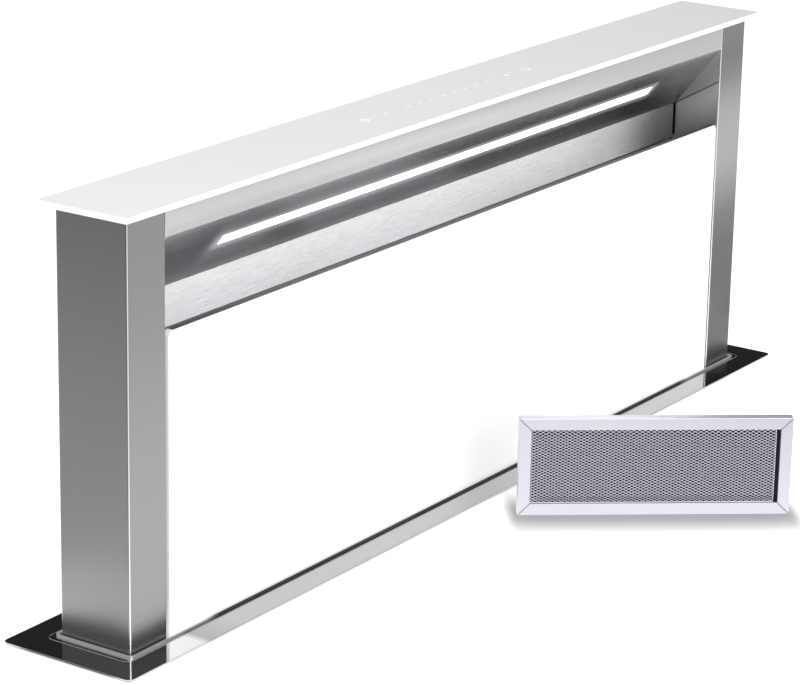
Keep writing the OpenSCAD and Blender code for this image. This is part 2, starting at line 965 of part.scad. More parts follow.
// An angle with a web on each side, which a screw draws up under the worktop
module worktop_clamps() {
  color([0.72, 0.73, 0.75])
    for (sx = [-1, 1], sy = [-1, 1])
      translate([sx * clamp_x, 0, 0])
        mirror([0, sy < 0 ? 1 : 0, 0])
          difference() {
            union() {
              block(
                [-clamp_w / 2, case_half_w, -clamp_drop - clamp_l],
                [clamp_w / 2, case_half_w + clamp_t, -clamp_drop]
              );
              block(
                [-clamp_w / 2, case_half_w, -clamp_drop - clamp_t],
                [clamp_w / 2, case_half_w + clamp_l, -clamp_drop]
              );
              for (side = [-1, 1])
                translate([
                  side * (clamp_w - clamp_t) / 2, case_half_w + clamp_t / 2, -clamp_drop - clamp_t / 2
                ])
                  gusset(clamp_l * web_share, -clamp_l * web_share, clamp_t);
            }
            translate([0, case_half_w + clamp_l / 2, -clamp_drop - clamp_t - over])
              cylinder(h = clamp_t + 2 * over, r = clamp_hole_r);
          }
}

// Angles on the side walls that are screwed to the cabinet, with a web in the middle
module cabinet_brackets() {
  color([0.72, 0.73, 0.75])
    for (sx = [-1, 1])
      mirror([sx < 0 ? 1 : 0, 0, 0])
        difference() {
          union() {
            block(
              [case_half_l, -cabinet_w / 2, cabinet_z],
              [case_half_l + cabinet_t, cabinet_w / 2, cabinet_z + cabinet_l]
            );
            block(
              [case_half_l, -cabinet_w / 2, cabinet_z],
              [case_half_l + cabinet_reach, cabinet_w / 2, cabinet_z + cabinet_t]
            );
            translate([case_half_l + cabinet_t / 2, 0, cabinet_z + cabinet_t / 2])
              rotate(-90)
                gusset(cabinet_reach * web_share, cabinet_l * web_share, cabinet_t);
          }
          for (sy = [-1, 1])
            translate([
              case_half_l + cabinet_reach / 2, sy * cabinet_hole_step / 2, cabinet_z - over
            ])
              cylinder(h = cabinet_t + 2 * over, r = cabinet_hole_r);
        }
}

// The cross shaft that makes both legs rise together
module cross_shaft() {
  color([0.7, 0.7, 0.72])
    translate([0, shaft_y, shaft_z])
      rotate([0, 90, 0]) cylinder(h = 2 * (case_in_l - slip), r = shaft_d / 2, center = true);
}

// A pinion with its hub, on the shaft beside a leg
module pinion(side) {
  color([0.85, 0.83, 0.75])
    translate([side * pinion_x, shaft_y, shaft_z]) {
      gear_x(rack_module, pinion_teeth, pinion_w, shaft_d / 2 + seat_gap, 0);
      translate([-side * (pinion_w / 2 + hub_w / 2), 0, 0])
        rotate([0, 90, 0])
          difference() {
            cylinder(h = hub_w, r = hub_r, center = true);
            cylinder(h = hub_w + 2 * over, r = shaft_d / 2 + seat_gap, center = true);
          }
    }
}

module pinion_left() {
  pinion(-1);
}

module pinion_right() {
  pinion(1);
}

// The gear on the cross shaft, with a tooth gap that faces the motor
module shaft_gear() {
  color([0.85, 0.83, 0.75])
    translate([0, shaft_y, shaft_z])
      gear_x(gear_module, shaft_teeth, gear_w, shaft_d / 2 + seat_gap, 180 / shaft_teeth);
}

// The gear on the motor, with its own short shaft
module drive_gear() {
  color([0.6, 0.6, 0.62])
    translate([0, drive_y, shaft_z]) {
      gear_x(gear_module, drive_teeth, gear_w, drive_shaft_r / 2, 180);
      translate([gearbox_x - gearbox_l / 3, 0, 0])
        rotate([0, 90, 0]) cylinder(h = gearbox_l / 3 - gearbox_x + gear_w / 2, r = drive_shaft_r);
    }
}

// Outline of one curved blade of the wheel, from its inner to its outer edge
function blade_points(d) = [
  for (i = [0 : blade_steps])
    let (
      f = i / blade_steps,
      r = wheel_in_r + (wheel_r - wheel_in_r) * f,
      a = blade_lean * f * f / 4 + d / r * 180 / PI
    )
    [r * cos(a), r * sin(a)]
];

// The wheel: a back disc, a ring at the inlet and curved blades between, with its shaft
module impeller() {
  color([0.2, 0.2, 0.21])
    translate([0, fan_out + wheel_gap, fan_z])
      rotate([-90, 0, 0]) {
        cylinder(h = wheel_ring_t, r = wheel_r);
        cylinder(h = fan_w / 3, r = wheel_hub_r);
        translate([0, 0, -motor_l / 2]) cylinder(h = motor_l / 2 + over, r = motor_shaft_r);
        translate([0, 0, fan_w - 2 * wheel_gap - wheel_ring_t])
          difference() {
            cylinder(h = wheel_ring_t, r = wheel_r);
            translate([0, 0, -over]) cylinder(h = wheel_ring_t + 2 * over, r = wheel_in_r);
          }
        linear_extrude(height = fan_w - 2 * wheel_gap - wheel_ring_t / 2)
          for (i = [0 : blade_count - 1])
            rotate(i * 360 / blade_count)
              polygon(concat(blade_points(0), reversed(blade_points(blade_t))));
      }
}

// The glass cap that lies on the posts and closes the slot when the column is down. Its
// edges are ground to a narrow flat all round.
module cap_glass() {
  cap_half_l = half_l + cap_end;
  cap_half_w = half_w + cap_side;
  color([0.95, 0.95, 0.95])
    translate([0, 0, column_h])
      intersection() {
        along_x(2 * cap_half_l) ground_section(cap_half_w);
        rotate(90) along_x(2 * cap_half_w) ground_section(cap_half_l);
      }
}

// A plate's section with its four edges ground off
module ground_section(half) {
  polygon([
    [-half, cap_arris],
    [-half + cap_arris, 0],
    [half - cap_arris, 0],
    [half, cap_arris],
    [half, cap_t - cap_arris],
    [half - cap_arris, cap_t],
    [-half + cap_arris, cap_t],
    [-half, cap_t - cap_arris]
  ]);
}

// The steel tray under the cap: edges folded down, and an opening for the touch module
module cap_tray() {
  color([0.7, 0.7, 0.71])
    difference() {
      block(
        [-post_in + panel_gap, skin_y + panel_gap, column_h - tray_fold],
        [post_in - panel_gap, back_y - panel_gap, column_h]
      );
      block(
        [-post_in + panel_gap + tray_t, skin_y + panel_gap + tray_t, column_h - tray_fold - over],
        [post_in - panel_gap - tray_t, back_y - panel_gap - tray_t, column_h - tray_t]
      );
      block(
        [-touch_l / 2, -touch_w / 2, column_h - tray_t - over],
        [touch_l / 2, touch_w / 2, column_h + over]
      );
    }
}

// The touch module: a flat plastic case with the sensor board, close under the glass
module touch_module() {
  color([0.1, 0.1, 0.11])
    block(
      [-touch_l / 2 + slip, -touch_w / 2 + slip, column_h - touch_h],
      [touch_l / 2 - slip, touch_w / 2 - slip, column_h - slip]
    );
}

// A post: a steel box section with round folds, open at both ends
module post(side) {
  color([0.6, 0.6, 0.61])
    translate([side * (half_l - post_w / 2), 0, -column_below])
      linear_extrude(height = column_h + column_below)
        difference() {
          round_rect(post_w / 2, half_w, fold_r);
          round_rect(post_w / 2 - sheet_t, half_w - sheet_t, fold_r - sheet_t);
        }
}

module post_left() {
  post(-1);
}

module post_right() {
  post(1);
}

// The back sheet of the column, with upright beads pressed inwards
module column_back() {
  color([0.62, 0.62, 0.63]) {
    difference() {
      block([-post_in, back_y, -column_below], [post_in, half_w, column_h]);
      back_beads(back_bead_r);
    }
    difference() {
      intersection() {
        back_beads(back_bead_r + sheet_t);
        block([-post_in, back_y - back_bead_d, 0], [post_in, back_y + seat_gap, column_h]);
      }
      back_beads(back_bead_r);
    }
  }
}

// The rods that press the beads, at a radius
module back_beads(r) {
  for (i = [0 : back_bead_count - 1])
    translate([
      (i - (back_bead_count - 1) / 2) * back_bead_step, half_w + back_bead_r - back_bead_d, back_bead_foot
    ])
      cylinder(h = slope_foot - back_bead_foot - filter_room, r = r);
}

// The upright band and the sloping panel, folded from one sheet with a hem at the back
module fascia_slope() {
  color([0.75, 0.75, 0.75])
    difference() {
      along_x(2 * post_in)
        polygon([
          [front_y, column_h],
          [front_y, slope_top],
          [slope_y, slope_foot],
          [back_y, slope_foot],
          [back_y, slope_foot + sheet_t],
          [slope_y + bend_out, slope_foot + sheet_t],
          [skin_y, slope_top + bend_in],
          [skin_y, column_h]
        ]);
      translate([0, front_y, slope_top])
        rotate([-slope_a, 0, 0])
          block([-led_l / 2, led_down, -over - sheet_t], [led_l / 2, led_down + led_w, over + sheet_t]);
    }
}

// The opal strip of the light, in the window of the slope
module led_diffuser() {
  color([1, 1, 1])
    translate([0, front_y, slope_top])
      rotate([-slope_a, 0, 0])
        block(
          [-led_l / 2 + slip, led_down + slip, 0],
          [led_l / 2 - slip, led_down + led_w - slip, sheet_t]
        );
}

// The aluminium strip with the light's diodes, behind the opal strip
module led_board() {
  color([0.8, 0.8, 0.82])
    translate([0, front_y, slope_top])
      rotate([-slope_a, 0, 0])
        block(
          [-led_l / 2 - led_lip, led_down - led_lip, sheet_t],
          [led_l / 2 + led_lip, led_down + led_w + led_lip, sheet_t + led_board_t]
        );
}

// The bright plate that hangs from the slope: a hem along its foot, and a clip at each end
// that bridges the gap to the post
module intake_baffle() {
  baffle_foot = slope_foot - baffle_h;
  color([0.9, 0.9, 0.9]) {
    block(
      [-post_in + baffle_gap, slope_y, baffle_foot],
      [post_in - baffle_gap, slope_y + sheet_t, slope_foot]
    );
    block(
      [-post_in + baffle_gap, slope_y, baffle_foot],
      [post_in - baffle_gap, slope_y + baffle_hem, baffle_foot + clip_h]
    );
    for (sx = [-1, 1])
      mirror([sx < 0 ? 1 : 0, 0, 0])
        block(
          [post_in - baffle_gap - clip_l, slope_y, baffle_foot],
          [post_in, slope_y + sheet_t, baffle_foot + clip_h / 2]
        );
  }
}

// The wall behind the filters, with a window for each
module filter_wall() {
  color([0.45, 0.45, 0.46])
    difference() {
      block([-post_in, wall_y, -column_below], [post_in, wall_y + sheet_t, slope_foot]);
      for (i = [0 : filter_count - 1])
        translate([(i - (filter_count - 1) / 2) * filter_step, 0, 0])
          block(
            [-filter_l / 2 + window_margin, wall_y - over, filter_foot + window_margin],
            [
              filter_l / 2 - window_margin, wall_y + sheet_t + over, filter_foot + filter_h - window_margin
            ]
          );
    }
}

// The ledge that the filters stand on, a strip folded up at its front
module filter_ledge() {
  color([0.6, 0.6, 0.61])
    along_x(2 * post_in)
      polygon([
        [wall_y, filter_foot],
        [wall_y, filter_foot - ledge_t - ledge_lip],
        [wall_y - ledge_t, filter_foot - ledge_t - ledge_lip],
        [wall_y - ledge_t, filter_foot - ledge_t],
        [filter_y - slip - ledge_t, filter_foot - ledge_t],
        [filter_y - slip - ledge_t, filter_foot + ledge_lip],
        [filter_y - slip, filter_foot + ledge_lip],
        [filter_y - slip, filter_foot]
      ]);
}

// The floor of the filter chamber, folded up at the front to stiffen the column
module column_floor() {
  color([0.6, 0.6, 0.61])
    along_x(2 * post_in)
      polygon([
        [skin_y + glass_t, -column_below],
        [wall_y, -column_below],
        [wall_y, -column_below + sheet_t],
        [skin_y + glass_t + sheet_t, -column_below + sheet_t],
        [skin_y + glass_t + sheet_t, -column_below + floor_fold],
        [skin_y + glass_t, -column_below + floor_fold]
      ]);
}

// A leg: a bar inside the post that reaches down into the housing, with a rack cut in it
module leg(side) {
  color([0.66, 0.66, 0.68])
    translate([side * pinion_x, 0, 0])
      along_x(leg_w)
        polygon(rack_points(leg_foot, rack_head, leg_top, leg_front));
}

module leg_left() {
  leg(-1);
}

module leg_right() {
  leg(1);
}

// The slippery blocks on the legs that run in the rails, one high and one low on each
module guide_shoes() {
  color([0.92, 0.92, 0.9])
    for (sx = [-1, 1], foot = [-column_below - shoe_drop - shoe_h, leg_foot + shoe_tail])
      mirror([sx < 0 ? 1 : 0, 0, 0])
        block(
          [leg_out, -rail_half + rail_wall + slip, foot],
          [case_in_l - rail_web - slip, rail_half - rail_wall - slip, foot + shoe_h]
        );
}

// The pins in the posts that the front glass hangs on, with a collar and a head
module glass_pins() {
  color([0.8, 0.8, 0.82])
    for (sx = [-1, 1], z = [hook_low, hook_high])
      mirror([sx < 0 ? 1 : 0, 0, 0])
        translate([post_in, pin_y, z])
          rotate([0, -90, 0]) {
            cylinder(h = pin_collar_t, r = pin_head_r);
            cylinder(h = hook_w + hook_t + slip, r = pin_r);
            translate([0, 0, hook_w + hook_t + slip]) cylinder(h = pin_head_t, r = pin_head_r);
          }
}

// The front glass with round top corners
module front_glass() {
  half = post_in - glass_gap;
  foot = -column_below + over;
  color([0.97, 0.97, 0.97])
    translate([0, front_y + glass_t, 0])
      rotate([90, 0, 0])
        linear_extrude(height = glass_t)
          union() {
            translate([-half, foot]) square([2 * half, glass_top - glass_corner_r - foot]);
            translate([-half + glass_corner_r, glass_top - 2 * glass_corner_r])
              square([2 * (half - glass_corner_r), 2 * glass_corner_r]);
            for (sx = [-1, 1])
              translate([sx * (half - glass_corner_r), glass_top - glass_corner_r]) circle(glass_corner_r);
          }
}

// The hooks bonded to the back of the glass, each with a slot that is open below
module glass_hooks() {
  color([0.75, 0.75, 0.77])
    for (sx = [-1, 1], z = [hook_low, hook_high])
      mirror([sx < 0 ? 1 : 0, 0, 0])
        difference() {
          union() {
            block(
              [post_in - hook_w - hook_t, front_y + glass_t, z - hook_h / 2],
              [post_in - hook_w / 2, front_y + glass_t + hook_t, z + hook_h / 2]
            );
            block(
              [post_in - hook_w - hook_t, front_y + glass_t, z - hook_h / 2],
              [post_in - hook_w, front_y + glass_t + hook_w, z + hook_h / 2]
            );
          }
          block(
            [post_in - 2 * hook_w, pin_y - pin_r - slip, z - hook_h / 2 - over],
            [post_in, pin_y + pin_r + slip, z]
          );
          translate([post_in - 2 * hook_w, pin_y, z])
            rotate([0, 90, 0]) cylinder(h = 2 * hook_w, r = pin_r + slip);
        }
}

// The frame of a filter in its own plane, foot at zero: a channel that is open inwards, cut at
// its corners into mitres
module filter_frame() {
  color([0.86, 0.86, 0.92])
    difference() {
      block([-filter_l / 2, 0, 0], [filter_l / 2, filter_t, filter_h]);
      block(
        [-filter_l / 2 + filter_rail, -over, filter_rail],
        [filter_l / 2 - filter_rail, filter_t + over, filter_h - filter_rail]
      );
      block(
        [-filter_l / 2 + filter_sheet, filter_sheet, filter_sheet],
        [filter_l / 2 - filter_sheet, filter_t - filter_sheet, filter_h - filter_sheet]
      );
      for (sx = [-1, 1], sz = [-1, 1])
        translate([sx * filter_l / 2, 0, filter_h / 2 + sz * filter_h / 2])
          rotate([0, -sx * sz * 45, 0])
            block(
              [-filter_rail * 2, -over, -mitre_gap / 2],
              [filter_rail * 2, filter_sheet, mitre_gap / 2]
            );
    }
}

// The net of a filter: a staggered pattern of open diamonds in a thin sheet, whose plain edge
// is held in the channel of the frame
module filter_net() {
  half_x = filter_l / 2 - filter_sheet;
  half_z = filter_h / 2 - filter_sheet;
  step_x = 2 * (filter_l / 2 - filter_rail - net_edge) / net_cols;
  step_z = 2 * (filter_h / 2 - filter_rail - net_edge) / net_rows;
  color([0.7, 0.7, 0.74])
    translate([0, filter_t / 2 + net_t / 2, filter_h / 2])
      rotate([90, 0, 0])
        linear_extrude(height = net_t)
          difference() {
            square([2 * half_x, 2 * half_z], center = true);
            for (i = [0 : net_cols - 1], k = [0 : net_rows - 1])
              translate([
                (i - (net_cols - 1) / 2 + (k % 2 == 0 ? 1 : -1) * net_stagger_share) * step_x,
                (k - (net_rows - 1) / 2) * step_z
              ])
                polygon([
                  [-step_x / 2 + net_web / 2, 0],
                  [0, -step_z + net_web],
                  [step_x / 2 - net_web / 2, 0],
                  [0, step_z - net_web]
                ]);
          }
}

// Places one filter of the set in its seat, counted from the left
module seated(i) {
  translate([(i - (filter_count - 1) / 2) * filter_step, filter_y, filter_foot]) children();
}

// Places the filter that stands in front by itself
module standing() {
  translate([loose_x, loose_y, 0]) rotate(loose_turn) children();
}

module filter_frame_left() {
  seated(0) filter_frame();
}

module filter_mesh_left() {
  seated(0) filter_net();
}

module filter_frame_middle() {
  seated(1) filter_frame();
}

module filter_mesh_middle() {
  seated(1) filter_net();
}

module filter_frame_right() {
  standing() filter_frame();
}

module filter_mesh_right() {
  standing() filter_net();
}

worktop_flange();
flange_tape();
slot_collar();
slot_seal();
housing_back();
housing_front();
housing_side_left();
housing_side_right();
housing_base();
rail_left();
rail_right();
bearing_left();
bearing_right();
gear_motor();
motor_bracket();
blower_box();
blower_cover();
scroll_housing();
inlet_ring();
blower_motor();
outlet_collar();
control_box();
control_cover();
cable_gland();
worktop_clamps();
cabinet_brackets();
cross_shaft();
pinion_left();
pinion_right();
shaft_gear();
drive_gear();
impeller();
flap_front();
flap_rear();
cap_glass();
cap_tray();
touch_module();
post_left();
post_right();
column_back();
fascia_slope();
led_diffuser();
led_board();
intake_baffle();
filter_wall();
filter_ledge();
column_floor();
leg_left();
leg_right();
guide_shoes();
glass_pins();
front_glass();
glass_hooks();
filter_frame_left();
filter_mesh_left();
filter_frame_middle();
filter_mesh_middle();
filter_frame_right();
filter_mesh_right();
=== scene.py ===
import math

import bmesh
import bpy
from mathutils import Matrix, Vector


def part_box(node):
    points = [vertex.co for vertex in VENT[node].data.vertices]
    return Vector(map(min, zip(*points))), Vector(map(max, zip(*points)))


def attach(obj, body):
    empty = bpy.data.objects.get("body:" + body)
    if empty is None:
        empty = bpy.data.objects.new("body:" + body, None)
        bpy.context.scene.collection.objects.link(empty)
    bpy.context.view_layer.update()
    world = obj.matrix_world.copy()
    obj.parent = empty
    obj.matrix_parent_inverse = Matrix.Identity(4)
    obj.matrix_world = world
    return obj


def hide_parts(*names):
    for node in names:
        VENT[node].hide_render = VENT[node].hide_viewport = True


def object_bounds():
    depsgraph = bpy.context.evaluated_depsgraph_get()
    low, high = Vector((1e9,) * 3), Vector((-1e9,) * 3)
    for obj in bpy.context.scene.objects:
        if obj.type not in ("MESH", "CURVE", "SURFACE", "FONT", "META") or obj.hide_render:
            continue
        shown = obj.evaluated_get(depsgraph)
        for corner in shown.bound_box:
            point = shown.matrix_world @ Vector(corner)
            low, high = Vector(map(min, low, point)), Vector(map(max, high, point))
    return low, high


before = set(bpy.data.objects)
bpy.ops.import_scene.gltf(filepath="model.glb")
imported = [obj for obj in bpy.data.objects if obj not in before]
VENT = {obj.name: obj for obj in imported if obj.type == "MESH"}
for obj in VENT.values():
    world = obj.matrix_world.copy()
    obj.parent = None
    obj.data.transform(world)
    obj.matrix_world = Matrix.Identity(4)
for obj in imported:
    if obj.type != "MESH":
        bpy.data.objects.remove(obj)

# The whole vent, as it is packed.
cad_low, cad_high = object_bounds()
bpy.context.scene.view_settings.view_transform = "Standard"

# The camera stands where the photograph was taken from: a long lens, left of the vent and a
# little above it, tipped by one degree.
CAMERA_PLACE = Vector((-1.8823, -1.2404, 0.8246))
CAMERA_AZIMUTH = math.radians(-55.84)
CAMERA_ELEVATION = math.radians(17.58)
CAMERA_ROLL = math.radians(1.10)
SENSOR_WIDTH = 36.0
FOCAL_PIXELS = 3115.0
FRAME_PIXELS = 800.0
CLIP_END = 50.0

camera_data = bpy.data.cameras.new("camera")
camera_data.sensor_width = SENSOR_WIDTH
camera_data.lens = SENSOR_WIDTH * FOCAL_PIXELS / FRAME_PIXELS
camera_data.clip_end = CLIP_END
camera = bpy.data.objects.new("camera", camera_data)
bpy.context.scene.collection.objects.link(camera)
back = Vector((
    math.sin(CAMERA_AZIMUTH) * math.cos(CAMERA_ELEVATION),
    -math.cos(CAMERA_AZIMUTH) * math.cos(CAMERA_ELEVATION),
    math.sin(CAMERA_ELEVATION),
))
level = Vector((math.cos(CAMERA_AZIMUTH), math.sin(CAMERA_AZIMUTH), 0))
upright = back.cross(level)
right = level * math.cos(CAMERA_ROLL) + upright * math.sin(CAMERA_ROLL)
up = back.cross(right)
camera.matrix_world = Matrix.Translation(CAMERA_PLACE) @ Matrix((right, up, back)).transposed().to_4x4()
bpy.context.scene.camera = camera

# The studio: a pale floor under the housing and a pale worktop round the flange, both white to
# the eye but for shadow and a painted shade on the worktop round the loose filter. To what is
# polished the floor is painted dark far out to the left, and the worktop painted dark close to
# the posts.
MM = 0.001


def srgb(code):
    """Linear red, green, blue and alpha of an sRGB hex colour."""
    parts = [int(code[i:i + 2], 16) / 255 for i in (1, 3, 5)]
    return [p / 12.92 if p <= 0.04045 else ((p + 0.055) / 1.055) ** 2.4 for p in parts] + [1.0]


def new_material(name):
    """A node material with its output and nothing else."""
    material = bpy.data.materials.new(name)
    material.use_nodes = True
    material.node_tree.nodes.clear()
    return material


def node(tree, kind, settings=(), **sockets):
    """Adds a node. A socket is named, or numbered as i0, and another node's output is linked."""
    made = tree.nodes.new(kind)
    for key, value in dict(settings).items():
        setattr(made, key, value)
    for key, value in sockets.items():
        numbered = key[0] == "i" and key[1:].isdigit()
        socket = made.inputs[int(key[1:])] if numbered else made.inputs[key.replace("_", " ")]
        if isinstance(value, bpy.types.NodeSocket):
            tree.links.new(value, socket)
        else:
            socket.default_value = value
    return made


FLOOR_GAP = 1 * MM
FLOOR_DROP = cad_low.z - FLOOR_GAP
FLOOR_HALF = 12.0
PAPER_LIFT = 0.42
DARK_FAR, DARK_NEAR = -3.05, -2.60
DARK_LEVEL, FLOOR_LEVEL, SLAB_LEVEL = 0.10, 0.84, 1.22
TOP_THICK = 38 * MM
TOP_SINK = 0.4 * MM
TOP_LEFT, TOP_RIGHT = -530 * MM, 530 * MM
TOP_FRONT, TOP_BACK = -440 * MM, 120 * MM
CUT_LONG, CUT_WIDE = 848 * MM, 97 * MM
PAPER_WHITE, PAPER_TONE, PAPER_SHADE = srgb("#ffffff"), srgb("#f4f4f4"), srgb("#b8b8b6")
LOOSE_TURN = math.radians(-51.8)
SHADE_REACH, SHADE_SHAPE = 62 * MM, (4, 1, 0)
FOOT_DARK, FOOT_NEAR, FOOT_FAR, FOOT_SHAPE = 0.06, 32 * MM, 54 * MM, (1, 2.4, 0)
post_low, post_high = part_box("post_right")
loose_low, loose_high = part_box("filter_frame_right")
seat_low, seat_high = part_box("filter_frame_left")


def box_distance(tree, place, middle, half, turn=0.0, weight=(1, 1, 0)):
    """How far a place lies from the foot of a box, measured on the level."""
    local = node(tree, "ShaderNodeMapping", {"vector_type": "TEXTURE"}, Vector=place, Location=middle,
                 Rotation=(0, 0, turn))
    beside = node(tree, "ShaderNodeVectorMath", {"operation": "ABSOLUTE"}, i0=local.outputs[0])
    beyond = node(tree, "ShaderNodeVectorMath", {"operation": "SUBTRACT"}, i0=beside.outputs[0], i1=half)
    outside = node(tree, "ShaderNodeVectorMath", {"operation": "MAXIMUM"}, i0=beyond.outputs[0],
                   i1=(0, 0, 0))
    flat = node(tree, "ShaderNodeVectorMath", {"operation": "MULTIPLY"}, i0=outside.outputs[0], i1=weight)
    reach = node(tree, "ShaderNodeVectorMath", {"operation": "LENGTH"}, i0=flat.outputs[0])
    return reach.outputs["Value"]


def paper_material(name, falls_dark):
    """Matt white paper, a little over white in plain light but for a painted shade round the loose filter.
    """
    material = new_material(name)
    tree = material.node_tree
    path = node(tree, "ShaderNodeLightPath")
    seen = node(tree, "ShaderNodeMath", {"operation": "MAXIMUM"}, i0=path.outputs["Is Camera Ray"],
                i1=path.outputs["Is Transmission Ray"])
    spot = node(tree, "ShaderNodeNewGeometry")
    shade = node(tree, "ShaderNodeMapRange", {"interpolation_type": "SMOOTHSTEP"},
                 Value=box_distance(tree, spot.outputs["Position"], (loose_low + loose_high) / 2,
                                    (seat_high - seat_low) / 2, LOOSE_TURN, SHADE_SHAPE),
                 From_Min=0.0, From_Max=SHADE_REACH, To_Min=1.0 if falls_dark else 0.0)
    # The paper is painted darker round the loose filter's foot, as its shade.
    tone = node(tree, "ShaderNodeMix", {"data_type": "RGBA"}, i0=shade.outputs[0], i6=PAPER_SHADE,
                i7=PAPER_TONE)
    matt = node(tree, "ShaderNodeBsdfDiffuse", Color=tone.outputs[2])
    lift = node(tree, "ShaderNodeMath", {"operation": "MULTIPLY"}, i0=shade.outputs[0], i1=PAPER_LIFT)
    power = node(tree, "ShaderNodeMath", {"operation": "MULTIPLY"}, i0=seen.outputs[0], i1=lift.outputs[0])
    glow = node(tree, "ShaderNodeEmission", Color=PAPER_WHITE, Strength=power.outputs[0])
    both = node(tree, "ShaderNodeAddShader", i0=matt.outputs[0], i1=glow.outputs[0])
    mirrored = node(tree, "ShaderNodeEmission", Color=PAPER_WHITE)
    # To what is polished the paper shows a painted dark: far out to the left on the floor, close to the
    # posts on the worktop.
    if falls_dark:
        split = node(tree, "ShaderNodeSeparateXYZ", Vector=spot.outputs["Position"])
        level = node(tree, "ShaderNodeMapRange", {"interpolation_type": "SMOOTHSTEP"},
                     Value=split.outputs["X"], From_Min=DARK_FAR, From_Max=DARK_NEAR, To_Min=DARK_LEVEL,
                     To_Max=FLOOR_LEVEL)
    else:
        # The posts stand alike at both ends, so the distance to one does for both.
        both_ends = node(tree, "ShaderNodeVectorMath", {"operation": "ABSOLUTE"},
                         i0=spot.outputs["Position"])
        level = node(tree, "ShaderNodeMapRange", {"interpolation_type": "SMOOTHSTEP"},
                     Value=box_distance(tree, both_ends.outputs[0], (post_low + post_high) / 2,
                                        (post_high - post_low) / 2, weight=FOOT_SHAPE),
                     From_Min=FOOT_NEAR, From_Max=FOOT_FAR, To_Min=FOOT_DARK, To_Max=SLAB_LEVEL)
    tree.links.new(level.outputs[0], mirrored.inputs["Strength"])
    shown = node(tree, "ShaderNodeMixShader", i0=path.outputs["Is Glossy Ray"], i1=both.outputs[0],
                 i2=mirrored.outputs[0])
    node(tree, "ShaderNodeOutputMaterial", Surface=shown.outputs[0])
    return material


bpy.ops.object.select_all(action="DESELECT")
bpy.ops.mesh.primitive_plane_add(size=2 * FLOOR_HALF, location=(0, 0, FLOOR_DROP))
floor = bpy.context.object
floor.name = "floor"
floor.data.materials.append(paper_material("white_paper", True))

bpy.ops.mesh.primitive_cube_add(size=1, location=(0, 0, 0))
worktop = bpy.context.object
worktop.name = "worktop"
worktop.scale = (TOP_RIGHT - TOP_LEFT, TOP_BACK - TOP_FRONT, TOP_THICK)
worktop_z = -TOP_SINK - TOP_THICK / 2
worktop.location = ((TOP_RIGHT + TOP_LEFT) / 2, (TOP_BACK + TOP_FRONT) / 2, worktop_z)
bpy.ops.mesh.primitive_cube_add(size=1, location=(0, 0, worktop_z))
cut = bpy.context.object
cut.scale = (CUT_LONG, CUT_WIDE, 2 * TOP_THICK)
hole = worktop.modifiers.new("cut_out", "BOOLEAN")
hole.operation = "DIFFERENCE"
hole.object = cut
bpy.context.view_layer.objects.active = worktop
bpy.ops.object.modifier_apply(modifier="cut_out")
bpy.data.objects.remove(cut)
worktop.data.materials.append(paper_material("white_worktop", False))

# The sky: white to the camera and plain to what is matt. To what is polished it has a dark band,
# as a black card would make it, between a pale haze on the horizon and the bright sky above.
SKY_PLAIN = 0.75
SKY_LOW, SKY_HIGH = 0.42, 0.70
SKY_DARK, SKY_BRIGHT = 0.02, 1.0
HAZE_LOW, HAZE_HIGH = 0.13, 0.25
HAZE_BRIGHT = 0.85

world = bpy.data.worlds.new("studio")
bpy.context.scene.world = world
world.use_nodes = True
sky = world.node_tree
sky.nodes.clear()
direction = node(sky, "ShaderNodeTexCoord")
split = node(sky, "ShaderNodeSeparateXYZ", Vector=direction.outputs["Generated"])
ramp = node(sky, "ShaderNodeMapRange", {"interpolation_type": "SMOOTHSTEP"}, Value=split.outputs["Z"],
            From_Min=SKY_LOW, From_Max=SKY_HIGH, To_Min=SKY_DARK, To_Max=SKY_BRIGHT)
haze = node(sky, "ShaderNodeMapRange", {"interpolation_type": "SMOOTHSTEP"}, Value=split.outputs["Z"],
            From_Min=HAZE_LOW, From_Max=HAZE_HIGH, To_Min=HAZE_BRIGHT, To_Max=0.0)
mirrored = node(sky, "ShaderNodeMath", {"operation": "MAXIMUM"}, i0=ramp.outputs[0], i1=haze.outputs[0])
path = node(sky, "ShaderNodeLightPath")
plain = node(sky, "ShaderNodeMix", {"data_type": "FLOAT"}, Factor=path.outputs["Is Glossy Ray"],
             i2=SKY_PLAIN, i3=mirrored.outputs[0])
shown = node(sky, "ShaderNodeMix", {"data_type": "FLOAT"}, Factor=path.outputs["Is Camera Ray"],
             i2=plain.outputs[0], i3=1.0)
light = node(sky, "ShaderNodeBackground", Color=PAPER_WHITE, Strength=shown.outputs[0])
node(sky, "ShaderNodeOutputWorld", Surface=light.outputs[0])


def lamp(name, place, aim, size, power):
    """A square soft box that points at a place."""
    data = bpy.data.lights.new(name, "AREA")
    data.size = size
    data.energy = power
    box = bpy.data.objects.new(name, data)
    box.location = place
    box.rotation_euler = (Vector(aim) - Vector(place)).to_track_quat("-Z", "Y").to_euler()
    bpy.context.scene.collection.objects.link(box)


lamp("soft_box_front", place=(-1.4, -2.6, 2.2), aim=(0, 0, 0), size=2.0, power=34)
lamp("soft_box_above", place=(0.6, 0.4, 3.2), aim=(0, 0, 0), size=2.4, power=30)
